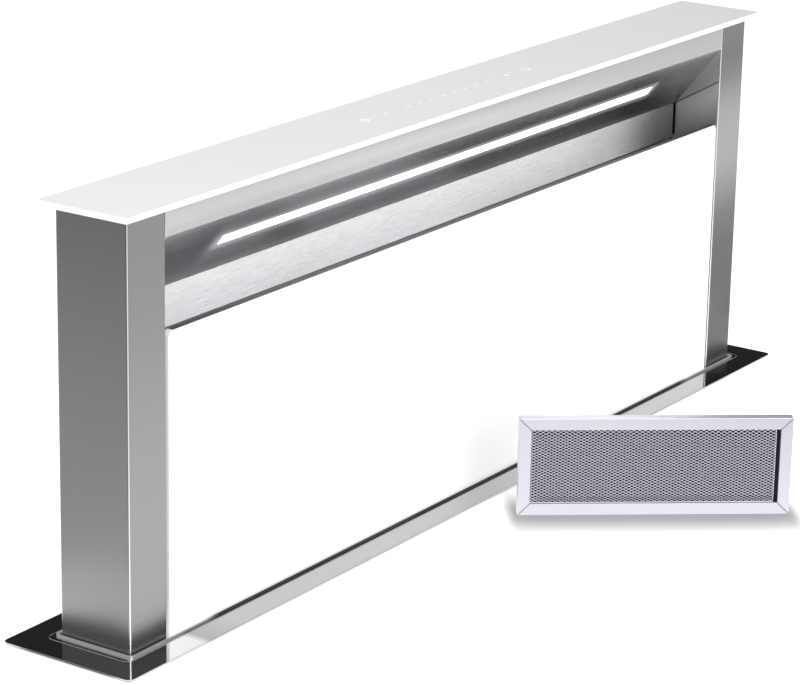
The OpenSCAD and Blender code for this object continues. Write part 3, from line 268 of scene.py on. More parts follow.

# The flange and its collar: polished stainless sheet, cut and pressed, with broken edges. It
# mirrors the posts and the glass that stand on it, and shows the dark low sky at both ends; its
# tone is also painted in bands of reflection along its length. The collar's rim is painted in
# bands of light and shade, with a painted glow. The real polish has a far finer grain, which is
# drawn coarser here so that it shows.
POLISH_STEP = 0.8 * MM
GRAIN_DETAIL, GRAIN_MIX = 3.0, 0.6
GRAIN_LOW, GRAIN_HIGH = 0.3, 0.7
GLOSS_SPREAD = 0.02
FAINT_BUMP = 0.01
RELIEF_SHARE = 0.1
MERGE_DISTANCE = 0.002 * MM
FLAT_ANGLE = math.radians(0.5)
EDGE_ANGLE = math.radians(40)
SMOOTH_ANGLE = math.radians(35)
NORMAL_WEIGHT = 100
SHEET_EDGE = 0.22 * MM
FACING_UP = 0.5
ALONG, UPWARD = (1, 0, 0), (0, 0, 1)
RIM_BANDS = [(0.0, "#c8c8c8"), (0.105, "#c8c8c8"), (0.12, "#525252"), (0.88, "#525252"),
             (0.895, "#c8c8c8"), (1.0, "#c8c8c8")]
FLANGE_BANDS = [(0.0, "#e8e8ea"), (0.09, "#e0e0e2"), (0.098, "#a4a4a6"), (0.14, "#b8b8ba"),
                (0.88, "#bebec0"), (0.905, "#b4b4b6"), (0.915, "#dcdcde"), (1.0, "#e8e8ea")]


def steel_material(name, colour, roughness, spread, step, along=(1, 1, 1), bump=0.1, glow=0.0):
    """Brushed or polished metal: its grain is a stretched noise, in gloss and in a slight bump."""
    material = new_material(name)
    tree = material.node_tree
    place = node(tree, "ShaderNodeTexCoord")
    stretch = node(tree, "ShaderNodeMapping", Vector=place.outputs["Object"], Scale=along)
    lines = node(tree, "ShaderNodeTexNoise", Vector=stretch.outputs[0], Scale=1 / step,
                 Detail=GRAIN_DETAIL, Roughness=GRAIN_MIX)
    gloss = node(tree, "ShaderNodeMapRange", Value=lines.outputs["Fac"], From_Min=GRAIN_LOW,
                 From_Max=GRAIN_HIGH, To_Min=roughness - spread, To_Max=roughness + spread)
    relief = node(tree, "ShaderNodeBump", Height=lines.outputs["Fac"], Strength=bump,
                  Distance=RELIEF_SHARE * step)
    shader = node(tree, "ShaderNodeBsdfPrincipled", Base_Color=srgb(colour), Metallic=1.0,
                  Roughness=gloss.outputs[0], Normal=relief.outputs[0],
                  Emission_Color=srgb(colour), Emission_Strength=glow)
    node(tree, "ShaderNodeOutputMaterial", Surface=shader.outputs[0])
    return material


def band_colour(tree, heading, low, high, stops):
    """A colour that changes along a heading, in painted bands of light, shade and reflection, as the room
    does that the piece mirrors.
    """
    place = node(tree, "ShaderNodeTexCoord")
    reach = node(tree, "ShaderNodeVectorMath", {"operation": "DOT_PRODUCT"}, i0=place.outputs["Object"],
                 i1=heading)
    along = node(tree, "ShaderNodeMapRange", Value=reach.outputs["Value"], From_Min=low, From_Max=high)
    bands = node(tree, "ShaderNodeValToRGB", Fac=along.outputs[0])
    elements = bands.color_ramp.elements
    for (position, colour), end in zip((stops[0], stops[-1]), (elements[0], elements[1])):
        end.position = position
        end.color = srgb(colour)
    for position, colour in stops[1:-1]:
        elements.new(position).color = srgb(colour)
    return bands.outputs["Color"]


def add_bands(material, heading, low, high, stops, sockets=("Base Color", "Emission Color")):
    """Gives a material such a colour."""
    tree = material.node_tree
    colour = band_colour(tree, heading, low, high, stops)
    shader = next(n for n in tree.nodes if n.type == "BSDF_PRINCIPLED")
    for socket in sockets:
        tree.links.new(colour, shader.inputs[socket])


def copy_of(name):
    """The faces of a CAD node as a new mesh, merged and in the frame's own place."""
    source = VENT[name]
    mesh = source.data.copy()
    mesh.transform(source.matrix_world)
    mesh.materials.clear()
    form = bmesh.new()
    form.from_mesh(mesh)
    bmesh.ops.remove_doubles(form, verts=form.verts, dist=MERGE_DISTANCE)
    bmesh.ops.dissolve_limit(form, angle_limit=FLAT_ANGLE, verts=form.verts, edges=form.edges)
    form.to_mesh(mesh)
    form.free()
    return mesh


def piece(name, mesh, body, materials, stands_for=()):
    """A finished piece that rides on a body and may stand for CAD nodes."""
    made = bpy.data.objects.new(name, mesh)
    mesh.name = name
    bpy.context.scene.collection.objects.link(made)
    for material in materials:
        mesh.materials.append(material)
    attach(made, body)
    if stands_for:
        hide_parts(*stands_for)
    return made


def apply_modifier(made, kind, **settings):
    """Adds a modifier to a piece and applies it."""
    added = made.modifiers.new(kind.lower(), kind)
    for key, value in settings.items():
        setattr(added, key, value)
    bpy.ops.object.select_all(action="DESELECT")
    made.select_set(True)
    bpy.context.view_layer.objects.active = made
    bpy.ops.object.modifier_apply(modifier=added.name)


def soften(made, width, segments=2, edge_slot=-1):
    """Rounds the sharp edges of a piece. The new faces may take a material slot of their own."""
    apply_modifier(made, "BEVEL", width=width, segments=segments, limit_method="ANGLE",
                   angle_limit=EDGE_ANGLE, material=edge_slot, use_clamp_overlap=True)
    bpy.ops.object.shade_smooth_by_angle(angle=SMOOTH_ANGLE)
    apply_modifier(made, "WEIGHTED_NORMAL", weight=NORMAL_WEIGHT, keep_sharp=True)


flange_low, flange_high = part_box("worktop_flange")
polished = steel_material("polished_stainless", "#e6e6e8", roughness=0.035, spread=0.01,
                          step=POLISH_STEP, bump=0.02)
# Painted reflection: light and dark bands along the flange.
add_bands(polished, ALONG, flange_low.x, flange_high.x, FLANGE_BANDS)
polished_edge = steel_material("polished_stainless_edge", "#b4b4b4", roughness=0.25,
                               spread=GLOSS_SPREAD, step=POLISH_STEP)
flange = piece("flange_sheet", copy_of("worktop_flange"), "chassis",
               [polished, polished_edge], ["worktop_flange"])
soften(flange, SHEET_EDGE, edge_slot=1)

collar_low, collar_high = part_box("slot_collar")
# The rim's glow and its bands along it are painted light and shade.
rim_steel = steel_material("rim_stainless", "#c4c4c4", roughness=0.30, spread=GLOSS_SPREAD,
                           step=POLISH_STEP, bump=FAINT_BUMP, glow=0.28)
add_bands(rim_steel, ALONG, collar_low.x, collar_high.x, RIM_BANDS)
collar_mesh = copy_of("slot_collar")
for face in collar_mesh.polygons:
    on_flange = face.normal.z > FACING_UP and face.center.z < flange_high.z + MERGE_DISTANCE
    face.material_index = 0 if on_flange else 1
collar = piece("collar_ring", collar_mesh, "chassis", [polished, rim_steel],
               ["slot_collar"])
soften(collar, SHEET_EDGE / 2)

# The posts: brushed stainless box sections with the grain running level, drawn coarser than it
# is so that it shows. Their folds carry a painted highlight, as thin white lines. The right
# post is painted with bands of light and shade up its height. Its inner face has a seam at the
# foot of the slope, painted light and shade round it, and a painted near-black shade behind the
# gap under it.
GRAIN_STEP = 0.6 * MM
GRAIN_LEVEL = (0.03, 0.03, 1)
POST_EDGE = 0.2 * MM
FLAT_LIMIT = 0.995
FOLD_BRIGHT = 0.86
UPRIGHT_LIMIT = 0.1
FOLD_SLOT, INSIDE_SLOT, GAP_SLOT = 1, 2, 3
SLOPE_H, SLOPE_RUN = 51.7 * MM, 41.1 * MM
SEAM_TILT = 0.585
SEAM_REACH = 50 * MM
# Painted light and shade on the right post's inner face, round a thin dark seam line.
INSIDE_BANDS = [(0.0, "#505050"), (0.30, "#b4b4b4"), (0.490, "#dcdcdc"), (0.497, "#6a6a6a"),
                (0.503, "#6a6a6a"), (0.510, "#d0d0d0"), (1.0, "#bcbcbc")]
# Painted light and shade up the right post, as its reflections fall.
RIGHT_BANDS = [(0.0, "#aaaaab"), (0.07, "#aaaaab"), (0.112, "#6d6d6e"), (0.145, "#676768"),
               (0.20, "#6c6c6d"), (0.25, "#787879"), (0.40, "#7d7d7e"), (0.49, "#8f8f90"),
               (0.56, "#adadae"), (0.63, "#c2c2c3"), (0.71, "#c5c5c6"), (0.78, "#bbbbbc"),
               (0.86, "#999999"), (0.91, "#8b8b8c"), (1.0, "#929293")]


def brushed_material(name, colour, roughness, along=GRAIN_LEVEL, glow=0.0):
    """Stainless sheet with an even, faint brushing."""
    return steel_material(name, colour, roughness, GLOSS_SPREAD, GRAIN_STEP, along, FAINT_BUMP, glow)


brushed = brushed_material("brushed_stainless", "#9f9fa0", roughness=0.30)
# The folds' white, with its glow, is a painted highlight.
fold_highlight = brushed_material("fold_highlight", "#ffffff", roughness=0.25, glow=0.14)
brushed_right = brushed_material("brushed_stainless_right", "#9f9fa0", roughness=0.30)
# The right post's sheet takes these painted bands of light and shade.
add_bands(brushed_right, UPWARD, post_low.z, post_high.z, RIGHT_BANDS)
band_low, band_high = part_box("fascia_slope")
baffle_low, baffle_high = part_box("intake_baffle")
gap_y = band_low.y + SLOPE_RUN
seam = band_low.z + SEAM_TILT * gap_y
# The inner face glows a little and is banded: painted light and shade.
brushed_inside = brushed_material("brushed_stainless_inside", "#8c8c8c", roughness=0.30, glow=0.12)
add_bands(brushed_inside, (0, SEAM_TILT, 1), seam - SEAM_REACH, seam + SEAM_REACH, INSIDE_BANDS)
# Painted shade: near black where the gap lies.
gap_painted_shade = brushed_material("gap_shade", "#060606", roughness=0.5)


def mark_inside(mesh):
    """Gives the inner face its slot, and another, painted near black as shade, to what is seen through the
    gap beside the plate.
    """
    form = bmesh.new()
    form.from_mesh(mesh)
    for place, heading in (((0, gap_y, 0), (0, 1, 0)), ((0, 0, baffle_low.z), (0, 0, 1))):
        whole = form.verts[:] + form.edges[:] + form.faces[:]
        bmesh.ops.bisect_plane(form, geom=whole, plane_co=place, plane_no=heading)
    form.to_mesh(mesh)
    form.free()
    for face in mesh.polygons:
        if face.normal.x < -FLAT_LIMIT:
            in_gap = face.center.y > gap_y and face.center.z > baffle_low.z
            face.material_index = GAP_SLOT if in_gap else INSIDE_SLOT


def mark_folds(mesh):
    """Gives the middle of each upright fold the slot of its painted highlight."""
    for face in mesh.polygons:
        upright_face = abs(face.normal.z) < UPRIGHT_LIMIT
        if upright_face and abs(face.normal.x) < FOLD_BRIGHT and abs(face.normal.y) < FOLD_BRIGHT:
            face.material_index = FOLD_SLOT


def dress(names, material):
    """Gives CAD nodes a material in every slot."""
    for name in names:
        slots = VENT[name].data.materials
        slots.clear()
        slots.append(material)


for side in ("left", "right"):
    mesh = copy_of("post_" + side)
    mark_folds(mesh)
    if side == "right":
        mark_inside(mesh)
    sheet = brushed if side == "left" else brushed_right
    post = piece("post_section_" + side, mesh, "column",
                 [sheet, fold_highlight, brushed_inside, gap_painted_shade], ["post_" + side])
    soften(post, POST_EDGE)
dress(["column_back"], brushed)

# The inside of the column: plainer brushed sheet, in the shade behind the glass. The wall is
# painted near black, as shade, behind the gaps beside the bright plate.
INNER_GRAIN = (0.03, 1, 0.03)
# Painted shade: near black at both ends of the wall.
GAP_BANDS = [(0.0, "#050505"), (0.0060, "#050505"), (0.0068, "#8c8c8e"), (0.9932, "#8c8c8e"),
             (0.9940, "#050505"), (1.0, "#050505")]
inner, gap_wall = [
    steel_material(name, "#8c8c8e", roughness=0.36, spread=0.05, step=GRAIN_STEP, along=INNER_GRAIN,
                   bump=0.03)
    for name in ("inner_stainless", "filter_wall_stainless")
]
dress(["filter_ledge", "column_floor", "cap_tray"], inner)
wall_low, wall_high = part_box("filter_wall")
add_bands(gap_wall, ALONG, wall_low.x, wall_high.x, GAP_BANDS)
dress(["filter_wall"], gap_wall)

# The cap: white back-painted glass on the posts, painted in a shade that darkens towards its right
# end, its ground edges white all round with a painted glow. The marks of the touch controls are
# printed on it, the white ones with a painted glow, so its top lies a little lower to take them.
PRINT_T = 0.05 * MM
PRINT_Y = -2.5 * MM
LINE_W = 0.4 * MM
TIMER_X, MINUS_X, PLUS_X, POWER_X = -108 * MM, -81 * MM, 79.7 * MM, 106.4 * MM
DASH_FIRST_X, DASH_STEP, DASH_L, DASH_COUNT = -53.4 * MM, 15.1 * MM, 5 * MM, 8
RING_R = 3.4 * MM
RING_POINTS = 40
GREY_RING_X, GREY_RING_Y, GREY_RING_R = 53 * MM, 5.7 * MM, 2.2 * MM
SIGN_SHARE = 0.8
LONG_HAND, SHORT_HAND = 0.7, 0.6
POWER_START, POWER_SWEEP = math.radians(125), math.radians(290)
POWER_RISE = 0.7
# Painted shade across the cap, darker towards its right end.
CAP_BANDS = [(0.0, "#f8f8f8"), (0.5, "#f0f0f1"), (1.0, "#dcdcdd")]
CAP_EDGE = 0.1 * MM
TINT_STEP, TINT_DETAIL = 500 / 3 * MM, 2.0


def glass_material(name, colour, deep, roughness=0.06, specular=0.5, glow=0.0):
    """Back-painted glass: an even colour, drifting slightly, under a hard clear face."""
    material = new_material(name)
    tree = material.node_tree
    place = node(tree, "ShaderNodeTexCoord")
    drift = node(tree, "ShaderNodeTexNoise", Vector=place.outputs["Object"], Scale=1 / TINT_STEP,
                 Detail=TINT_DETAIL)
    tint = node(tree, "ShaderNodeMix", {"data_type": "RGBA"}, i0=drift.outputs["Fac"],
                i6=srgb(colour), i7=srgb(deep))
    shader = node(tree, "ShaderNodeBsdfPrincipled", Base_Color=tint.outputs[2], Roughness=roughness,
                  Specular_IOR_Level=specular, Emission_Color=srgb(colour), Emission_Strength=glow)
    node(tree, "ShaderNodeOutputMaterial", Surface=shader.outputs[0])
    return material


def add_bar(form, x, y, length, width, turn=0.0):
    """Adds a flat bar to a print that lies in the plane z = 0."""
    place = Matrix.Translation((x, y, 0)) @ Matrix.Rotation(turn, 4, "Z")
    corners = [(-1, -1), (1, -1), (1, 1), (-1, 1)]
    form.faces.new([
        form.verts.new(place @ Vector((sx * length / 2, sy * width / 2, 0)))
        for sx, sy in corners
    ])


def add_ring(form, x, y, radius, width, start=0.0, sweep=2 * math.pi):
    """Adds a flat ring, or a part of one, to a print that lies in the plane z = 0."""
    pairs = []
    for step in range(RING_POINTS + 1):
        angle = start + sweep * step / RING_POINTS
        pairs.append([
            form.verts.new((x + r * math.cos(angle), y + r * math.sin(angle), 0))
            for r in (radius - width / 2, radius + width / 2)
        ])
    for (in_a, out_a), (in_b, out_b) in zip(pairs, pairs[1:]):
        form.faces.new((in_a, out_a, out_b, in_b))


def print_piece(name, form, height, material):
    """Turns a flat print into a thin piece on the cap."""
    mesh = bpy.data.meshes.new(name)
    bmesh.ops.translate(form, verts=form.verts, vec=(0, 0, height))
    form.to_mesh(mesh)
    form.free()
    made = piece(name, mesh, "column", [material])
    apply_modifier(made, "SOLIDIFY", thickness=PRINT_T, offset=-1)
    return made


cap_low, cap_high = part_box("cap_glass")
cap_white = glass_material("white_painted_glass", "#ececed", "#e7e7e9", specular=0.22)
add_bands(cap_white, ALONG, cap_low.x, cap_high.x, CAP_BANDS)
# The ground edges' glow is painted light.
ground_white_glow = glass_material("ground_glass_edge_glow", "#ffffff", "#fbfdfc", roughness=0.35, glow=0.25)
cap_mesh = copy_of("cap_glass")
for vertex in cap_mesh.vertices:
    if vertex.co.z > cap_high.z - MERGE_DISTANCE:
        vertex.co.z -= PRINT_T
for face in cap_mesh.polygons:
    face.material_index = 0 if abs(face.normal.z) > FLAT_LIMIT else 1
cap = piece("cap_plate", cap_mesh, "column", [cap_white, ground_white_glow], ["cap_glass"])
soften(cap, CAP_EDGE, edge_slot=1)

symbols = bmesh.new()
for turn in (0, math.pi / 2):
    add_bar(symbols, PLUS_X, PRINT_Y, 2 * RING_R * SIGN_SHARE, LINE_W, turn)
add_bar(symbols, MINUS_X, PRINT_Y, 2 * RING_R * SIGN_SHARE, LINE_W)
for step in range(DASH_COUNT):
    add_bar(symbols, DASH_FIRST_X + step * DASH_STEP, PRINT_Y, DASH_L, LINE_W)
add_ring(symbols, TIMER_X, PRINT_Y, RING_R, LINE_W)
add_bar(symbols, TIMER_X, PRINT_Y + RING_R / 3, RING_R * LONG_HAND, LINE_W, math.pi / 2)
add_bar(symbols, TIMER_X + RING_R / 4, PRINT_Y, RING_R * SHORT_HAND, LINE_W)
add_ring(symbols, POWER_X, PRINT_Y, RING_R, LINE_W, POWER_START, POWER_SWEEP)
add_bar(symbols, POWER_X, PRINT_Y + RING_R * POWER_RISE, RING_R, LINE_W, math.pi / 2)
# The white print's glow is painted light.
ink_white = glass_material("white_print", "#ffffff", "#fdfdfd", roughness=0.4, glow=0.3)
print_piece("touch_marks", symbols, cap_high.z, ink_white)
sensor = bmesh.new()
add_ring(sensor, GREY_RING_X, GREY_RING_Y, GREY_RING_R, LINE_W)
ink_grey = glass_material("grey_print", "#cfcfd2", "#c8c8cc", roughness=0.4)
print_piece("sensor_ring", sensor, cap_high.z, ink_grey)

# The upright band and the sloping panel, one folded sheet of satin stainless, both painted in
# bands of light and shade. Round the light the panel has a painted glow, and past the left end
# of the light it is painted darker, as shade.
GRAIN_ALONG = (0.03, 1, 1)
HALO, HALO_LONG = 8 * MM, 14 * MM
HALO_POWER, RIM_POWER = 0.55, 0.28
LIT_SHARE = 0.62
LIT_SHORT = 5 * MM
# Painted light and shade down the slope, and painted darker past the left end of the light.
SLOPE_BANDS = [(0.0, "#7e7e7e"), (0.16, "#6c6c6c"), (0.34, "#9f9f9f"), (0.56, "#cacaca"),
               (0.70, "#c6c6c6"), (0.84, "#bcbcbc"), (0.95, "#cecece"), (1.0, "#e8e8e8")]
END_BANDS = [(0.0, "#7c7c7c"), (0.16, "#6a6a6a"), (0.45, "#686868"), (0.60, "#6e6e6e"),
             (0.78, "#939393"), (0.89, "#b1b1b1"), (1.0, "#e1e1e1")]
END_REACH = 22 * MM
# Painted light up the upright band, lightest at its foot.
FASCIA_BANDS = [(0.0, "#f2f2f2"), (0.25, "#e2e2e2"), (0.5, "#d7d7d7"), (0.8, "#d3d3d3"),
                (1.0, "#dbdbdb")]
FOLD_EDGE = 0.4 * MM
led_low, led_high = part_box("led_diffuser")
led_middle = (led_low + led_high) / 2
slope_angle = math.atan2(SLOPE_H, SLOPE_RUN)
slope_down = Vector((0, math.cos(slope_angle), -math.sin(slope_angle)))
led_half = (led_high.y - led_low.y) / 2 / math.cos(slope_angle)
lit_x = (led_high.x - led_low.x - LIT_SHORT) / 2
lit_half = LIT_SHARE * led_half
lit_middle = led_middle + slope_down * (led_half - lit_half) - Vector((LIT_SHORT / 2, 0, 0))


def light_shape(tree, end_edge, side_edge):
    """One on the lit band of the light, and falling to nothing over its edges."""
    place = node(tree, "ShaderNodeTexCoord")
    offset = node(tree, "ShaderNodeVectorMath", {"operation": "SUBTRACT"}, i0=place.outputs["Object"],
                  i1=lit_middle)
    fades = []
    for heading, reach, edge in ((ALONG, lit_x, end_edge), (slope_down, lit_half, side_edge)):
        along = node(tree, "ShaderNodeVectorMath", {"operation": "DOT_PRODUCT"}, i0=offset.outputs[0],
                     i1=heading)
        away = node(tree, "ShaderNodeMath", {"operation": "ABSOLUTE"}, i0=along.outputs["Value"])
        fades.append(node(tree, "ShaderNodeMapRange", {"interpolation_type": "SMOOTHSTEP"},
                          Value=away.outputs[0], From_Min=reach, From_Max=reach + edge, To_Min=1.0,
                          To_Max=0.0))
    both = node(tree, "ShaderNodeMath", {"operation": "MULTIPLY"}, i0=fades[0].outputs[0],
                i1=fades[1].outputs[0])
    return both.outputs[0]


satin = brushed_material("satin_stainless", "#d4d4d4", roughness=0.44, along=GRAIN_ALONG)
shaded = brushed_material("shaded_stainless", "#909090", roughness=0.26, along=GRAIN_ALONG)
slope_top = band_low.z + SLOPE_H
add_bands(satin, UPWARD, slope_top, band_high.z, FASCIA_BANDS)
tree = shaded.node_tree
spot = node(tree, "ShaderNodeTexCoord")
across = node(tree, "ShaderNodeSeparateXYZ", Vector=spot.outputs["Object"])
from_end = node(tree, "ShaderNodeMapRange", {"interpolation_type": "SMOOTHSTEP"},
                Value=across.outputs["X"], From_Min=led_low.x - END_REACH, From_Max=led_low.x)
tint = node(tree, "ShaderNodeMix", {"data_type": "RGBA"}, i0=from_end.outputs[0],
            i6=band_colour(tree, UPWARD, band_low.z, slope_top, END_BANDS),
            i7=band_colour(tree, UPWARD, band_low.z, slope_top, SLOPE_BANDS))
# The halo is a painted glow round the light.
power = node(tree, "ShaderNodeMath", {"operation": "MULTIPLY"}, i0=light_shape(tree, HALO_LONG, HALO),
             i1=HALO_POWER)
shader = next(n for n in tree.nodes if n.type == "BSDF_PRINCIPLED")
for socket in ("Base Color", "Emission Color"):
    tree.links.new(tint.outputs[2], shader.inputs[socket])
tree.links.new(power.outputs[0], shader.inputs["Emission Strength"])
band_mesh = copy_of("fascia_slope")
for face in band_mesh.polygons:
    face.material_index = 0 if abs(face.normal.y) > FLAT_LIMIT else 1
band = piece("fascia_sheet", band_mesh, "column", [satin, shaded], ["fascia_slope"])
soften(band, FOLD_EDGE)

# The light: an opal strip on its aluminium board. It glows along a band. Its rim is painted grey
# as shade, and glows only with the painted halo round the light.
OPAL_POWER = 9.0
OPAL_EDGE = 1.2 * MM
# The rim's grey is painted shade.
OPAL_RIM_SHADE = srgb("#707070")
OPAL_CLOUD = 10 / 3 * MM
OPAL_SMOOTH, OPAL_ROUGH = 0.35, 0.5

opal = new_material("opal_acrylic")
tree = opal.node_tree
spot = node(tree, "ShaderNodeTexCoord")
cloud = node(tree, "ShaderNodeTexNoise", Vector=spot.outputs["Object"], Scale=1 / OPAL_CLOUD)
matt_gloss = node(tree, "ShaderNodeMapRange", Value=cloud.outputs["Fac"], To_Min=OPAL_SMOOTH,
                  To_Max=OPAL_ROUGH)
lit = light_shape(tree, OPAL_EDGE, OPAL_EDGE)
tint = node(tree, "ShaderNodeMix", {"data_type": "RGBA"}, i0=lit, i6=OPAL_RIM_SHADE, i7=PAPER_WHITE)
beam = node(tree, "ShaderNodeMath", {"operation": "MULTIPLY"}, i0=lit, i1=OPAL_POWER)
halo = node(tree, "ShaderNodeMath", {"operation": "MULTIPLY_ADD"},
            i0=light_shape(tree, HALO_LONG, HALO), i1=RIM_POWER, i2=beam.outputs[0])
shader = node(tree, "ShaderNodeBsdfPrincipled", Base_Color=tint.outputs[2],
              Roughness=matt_gloss.outputs[0], Emission_Color=PAPER_WHITE,
              Emission_Strength=halo.outputs[0])
node(tree, "ShaderNodeOutputMaterial", Surface=shader.outputs[0])
dress(["led_diffuser"], opal)
aluminium = steel_material("mill_aluminium", "#c9cbce", roughness=0.38, spread=0.05, step=GRAIN_STEP,
                           along=GRAIN_ALONG)
dress(["led_board"], aluminium)

# The bright plate under the slope: folded stainless sheet with a hem and two end clips. It has a
# painted glow, and its right end is painted dark, as shade.
# Painted shade towards the plate's right end.
BAFFLE_BANDS = [(0.0, "#fcfcfc"), (0.86, "#f6f6f6"), (0.92, "#c8c8c8"), (0.96, "#909090"),
                (1.0, "#686868")]
# The plate's glow is painted light.
bright = brushed_material("bright_stainless", "#f6f6f6", roughness=0.28, along=GRAIN_ALONG, glow=0.2)
add_bands(bright, ALONG, baffle_low.x, baffle_high.x, BAFFLE_BANDS)
baffle = piece("bright_plate", copy_of("intake_baffle"), "column", [bright],
               ["intake_baffle"])
soften(baffle, SHEET_EDGE)

# The front glass: white back-painted glass with a painted glow, brightest at its foot. Its ground
# top edge is painted grey, as the slope's shade.
GLASS_EDGE = 0.5 * MM
# Painted light: the glass's glow, strongest at its foot.
GLASS_BANDS = [(0.0, "#ffffff"), (0.09, "#e0e0e0"), (0.20, "#989898"), (1.0, "#909090")]
glass_white = glass_material("white_front_glass", "#fdfdfd", "#fbfbfc", specular=0.12, glow=0.55)
# The top edge's grey is painted shade.
edge_painted_shade = glass_material("shaded_glass_edge", "#565857", "#505251", roughness=0.4, specular=0.2)
glass_mesh = copy_of("front_glass")
for face in glass_mesh.polygons:
    face.material_index = 1 if face.normal.z > FLAT_LIMIT else 0
pane_low, pane_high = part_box("front_glass")
add_bands(glass_white, UPWARD, pane_low.z, pane_high.z, GLASS_BANDS, ["Emission Color"])
front = piece("glass_pane", glass_mesh, "glass_panel", [glass_white, edge_painted_shade],
              ["front_glass"])
soften(front, GLASS_EDGE)

# The grease filters: four mitred rails of anodised aluminium round a pack of expanded mesh. The
# mesh has wide low diamonds, and it is pressed out towards both faces inside a narrow border.
# The rails and the mesh have a painted glow, and a near-black pad between the meshes is painted
# shade for the mesh layers inside; the net stops short at one side so that the pad shows there.
# One filter stands turned on the worktop, and the other two sit behind the front glass.
NET_COLUMNS, NET_ROWS = 42, 26
STRAND = 0.30 * MM
# The net stops short at one side, so that the dark pad shows there as painted shade.
NET_SHORT = 3.2 * MM
NET_BORDER = 6 * MM
NET_DEEP, NET_SHALLOW = 3.0 * MM, 1.0 * MM
RAIL_W = 9 * MM
RAIL_GAP = 0.12 * MM
RAIL_EDGE = 0.5 * MM
RAIL_ROUNDS = 3
PAD_HALF = 1.0 * MM
SPECK_DETAIL = 4.0
GLOSS_DRIFT = 0.08
FILTERS = {"left": 0.0, "middle": 0.0, "right": LOOSE_TURN}

filter_l, filter_t, filter_h = seat_high - seat_low
# Both have a painted glow: faint on the rails, strong on the mesh.
anodised = steel_material("anodised_aluminium", "#d8d8e2", roughness=0.38, spread=0.03, step=GRAIN_STEP,
                          bump=0.02, glow=0.04)
mesh_metal = steel_material("mesh_aluminium", "#dcdce8", roughness=0.34, spread=0.05, step=GRAIN_STEP,
                            bump=0.02, glow=0.6)


def matt_material(name, colour, roughness, step, strength=0.3):
    """A matt stuff, such as plastic, rubber or a pad, with a fine uneven face."""
    material = new_material(name)
    tree = material.node_tree
    place = node(tree, "ShaderNodeTexCoord")
    speck = node(tree, "ShaderNodeTexNoise", Vector=place.outputs["Object"], Scale=1 / step,
                 Detail=SPECK_DETAIL)
    gloss = node(tree, "ShaderNodeMapRange", Value=speck.outputs["Fac"], To_Min=roughness - GLOSS_DRIFT,
                 To_Max=roughness + GLOSS_DRIFT)
    relief = node(tree, "ShaderNodeBump", Height=speck.outputs["Fac"], Strength=strength,
                  Distance=RELIEF_SHARE * step)
    shader = node(tree, "ShaderNodeBsdfPrincipled", Base_Color=srgb(colour), Roughness=gloss.outputs[0],
                  Normal=relief.outputs[0])
    node(tree, "ShaderNodeOutputMaterial", Surface=shader.outputs[0])
    return material


# The pad's near black is painted shade.
shade_pad_dark = matt_material("filter_shade_pad", "#0c0c0f", roughness=0.85, step=0.5 * MM)


def add_rail(form, place, length):
    """Adds a mitred rail: its outer edge is the longer one and lies along the local X axis."""
    outer = length / 2 - RAIL_GAP
    inner_end = length / 2 - RAIL_W - RAIL_GAP
    section = [(-outer, 0), (outer, 0), (inner_end, RAIL_W), (-inner_end, RAIL_W)]
    rings = [
        [form.verts.new(place @ Vector((x, y, z))) for x, z in section]
        for y in (-filter_t / 2, filter_t / 2)
    ]
    form.faces.new(rings[0])
    form.faces.new(reversed(rings[1]))
    for k in range(len(section)):
        after = (k + 1) % len(section)
        form.faces.new((rings[0][after], rings[0][k], rings[1][k], rings[1][after]))


def rail_mesh(name):
    """The four rails of a filter, round the middle of its foot."""
    form = bmesh.new()
    middle = Matrix.Translation((0, 0, filter_h / 2))
    for quarter in range(4):
        length, reach = (filter_h, filter_l) if quarter % 2 else (filter_l, filter_h)
        spin = Matrix.Rotation(quarter * math.pi / 2, 4, "Y")
        add_rail(form, middle @ spin @ Matrix.Translation((0, 0, -reach / 2)), length)
    bmesh.ops.recalc_face_normals(form, faces=form.faces)
    mesh = bpy.data.meshes.new(name)
    form.to_mesh(mesh)
    form.free()
    return mesh


def net_mesh(name, face_sign):
    """The diamond mesh of one face: the corners and the middles of a grid's cells, joined."""
    half_x = filter_l / 2 - RAIL_W
    half_z = filter_h / 2 - RAIL_W
    form = bmesh.new()
    bmesh.ops.create_grid(form, x_segments=NET_COLUMNS, y_segments=NET_ROWS, size=1)
    straight = list(form.edges)
    bmesh.ops.poke(form, faces=list(form.faces))
    bmesh.ops.dissolve_edges(form, edges=[e for e in straight if not e.is_boundary], use_verts=False)
    for vertex in form.verts:
        x = vertex.co.x * (half_x - NET_SHORT / 2) - NET_SHORT / 2
        z = vertex.co.y * half_z
        inside = min(half_x - abs(x), half_z - abs(z)) / NET_BORDER
        rise = max(0.0, min(1.0, inside))
        depth = NET_DEEP + (NET_SHALLOW - NET_DEEP) * rise * rise * (3 - 2 * rise)
        vertex.co = Vector((x, face_sign * (filter_t / 2 - depth), z + filter_h / 2))
    mesh = bpy.data.meshes.new(name)
    form.to_mesh(mesh)
    form.free()
    return mesh


def pad_mesh(name):
    """The dark inside of a filter, between its two meshes: a sheet painted near black as shade."""
    form = bmesh.new()
    bmesh.ops.create_cube(form, size=1)
    size = Vector((filter_l - RAIL_W, 2 * PAD_HALF, filter_h - RAIL_W))
    for vertex in form.verts:
        vertex.co = vertex.co * size + Vector((0, 0, filter_h / 2))
    mesh = bpy.data.meshes.new(name)
    form.to_mesh(mesh)
    form.free()
    return mesh


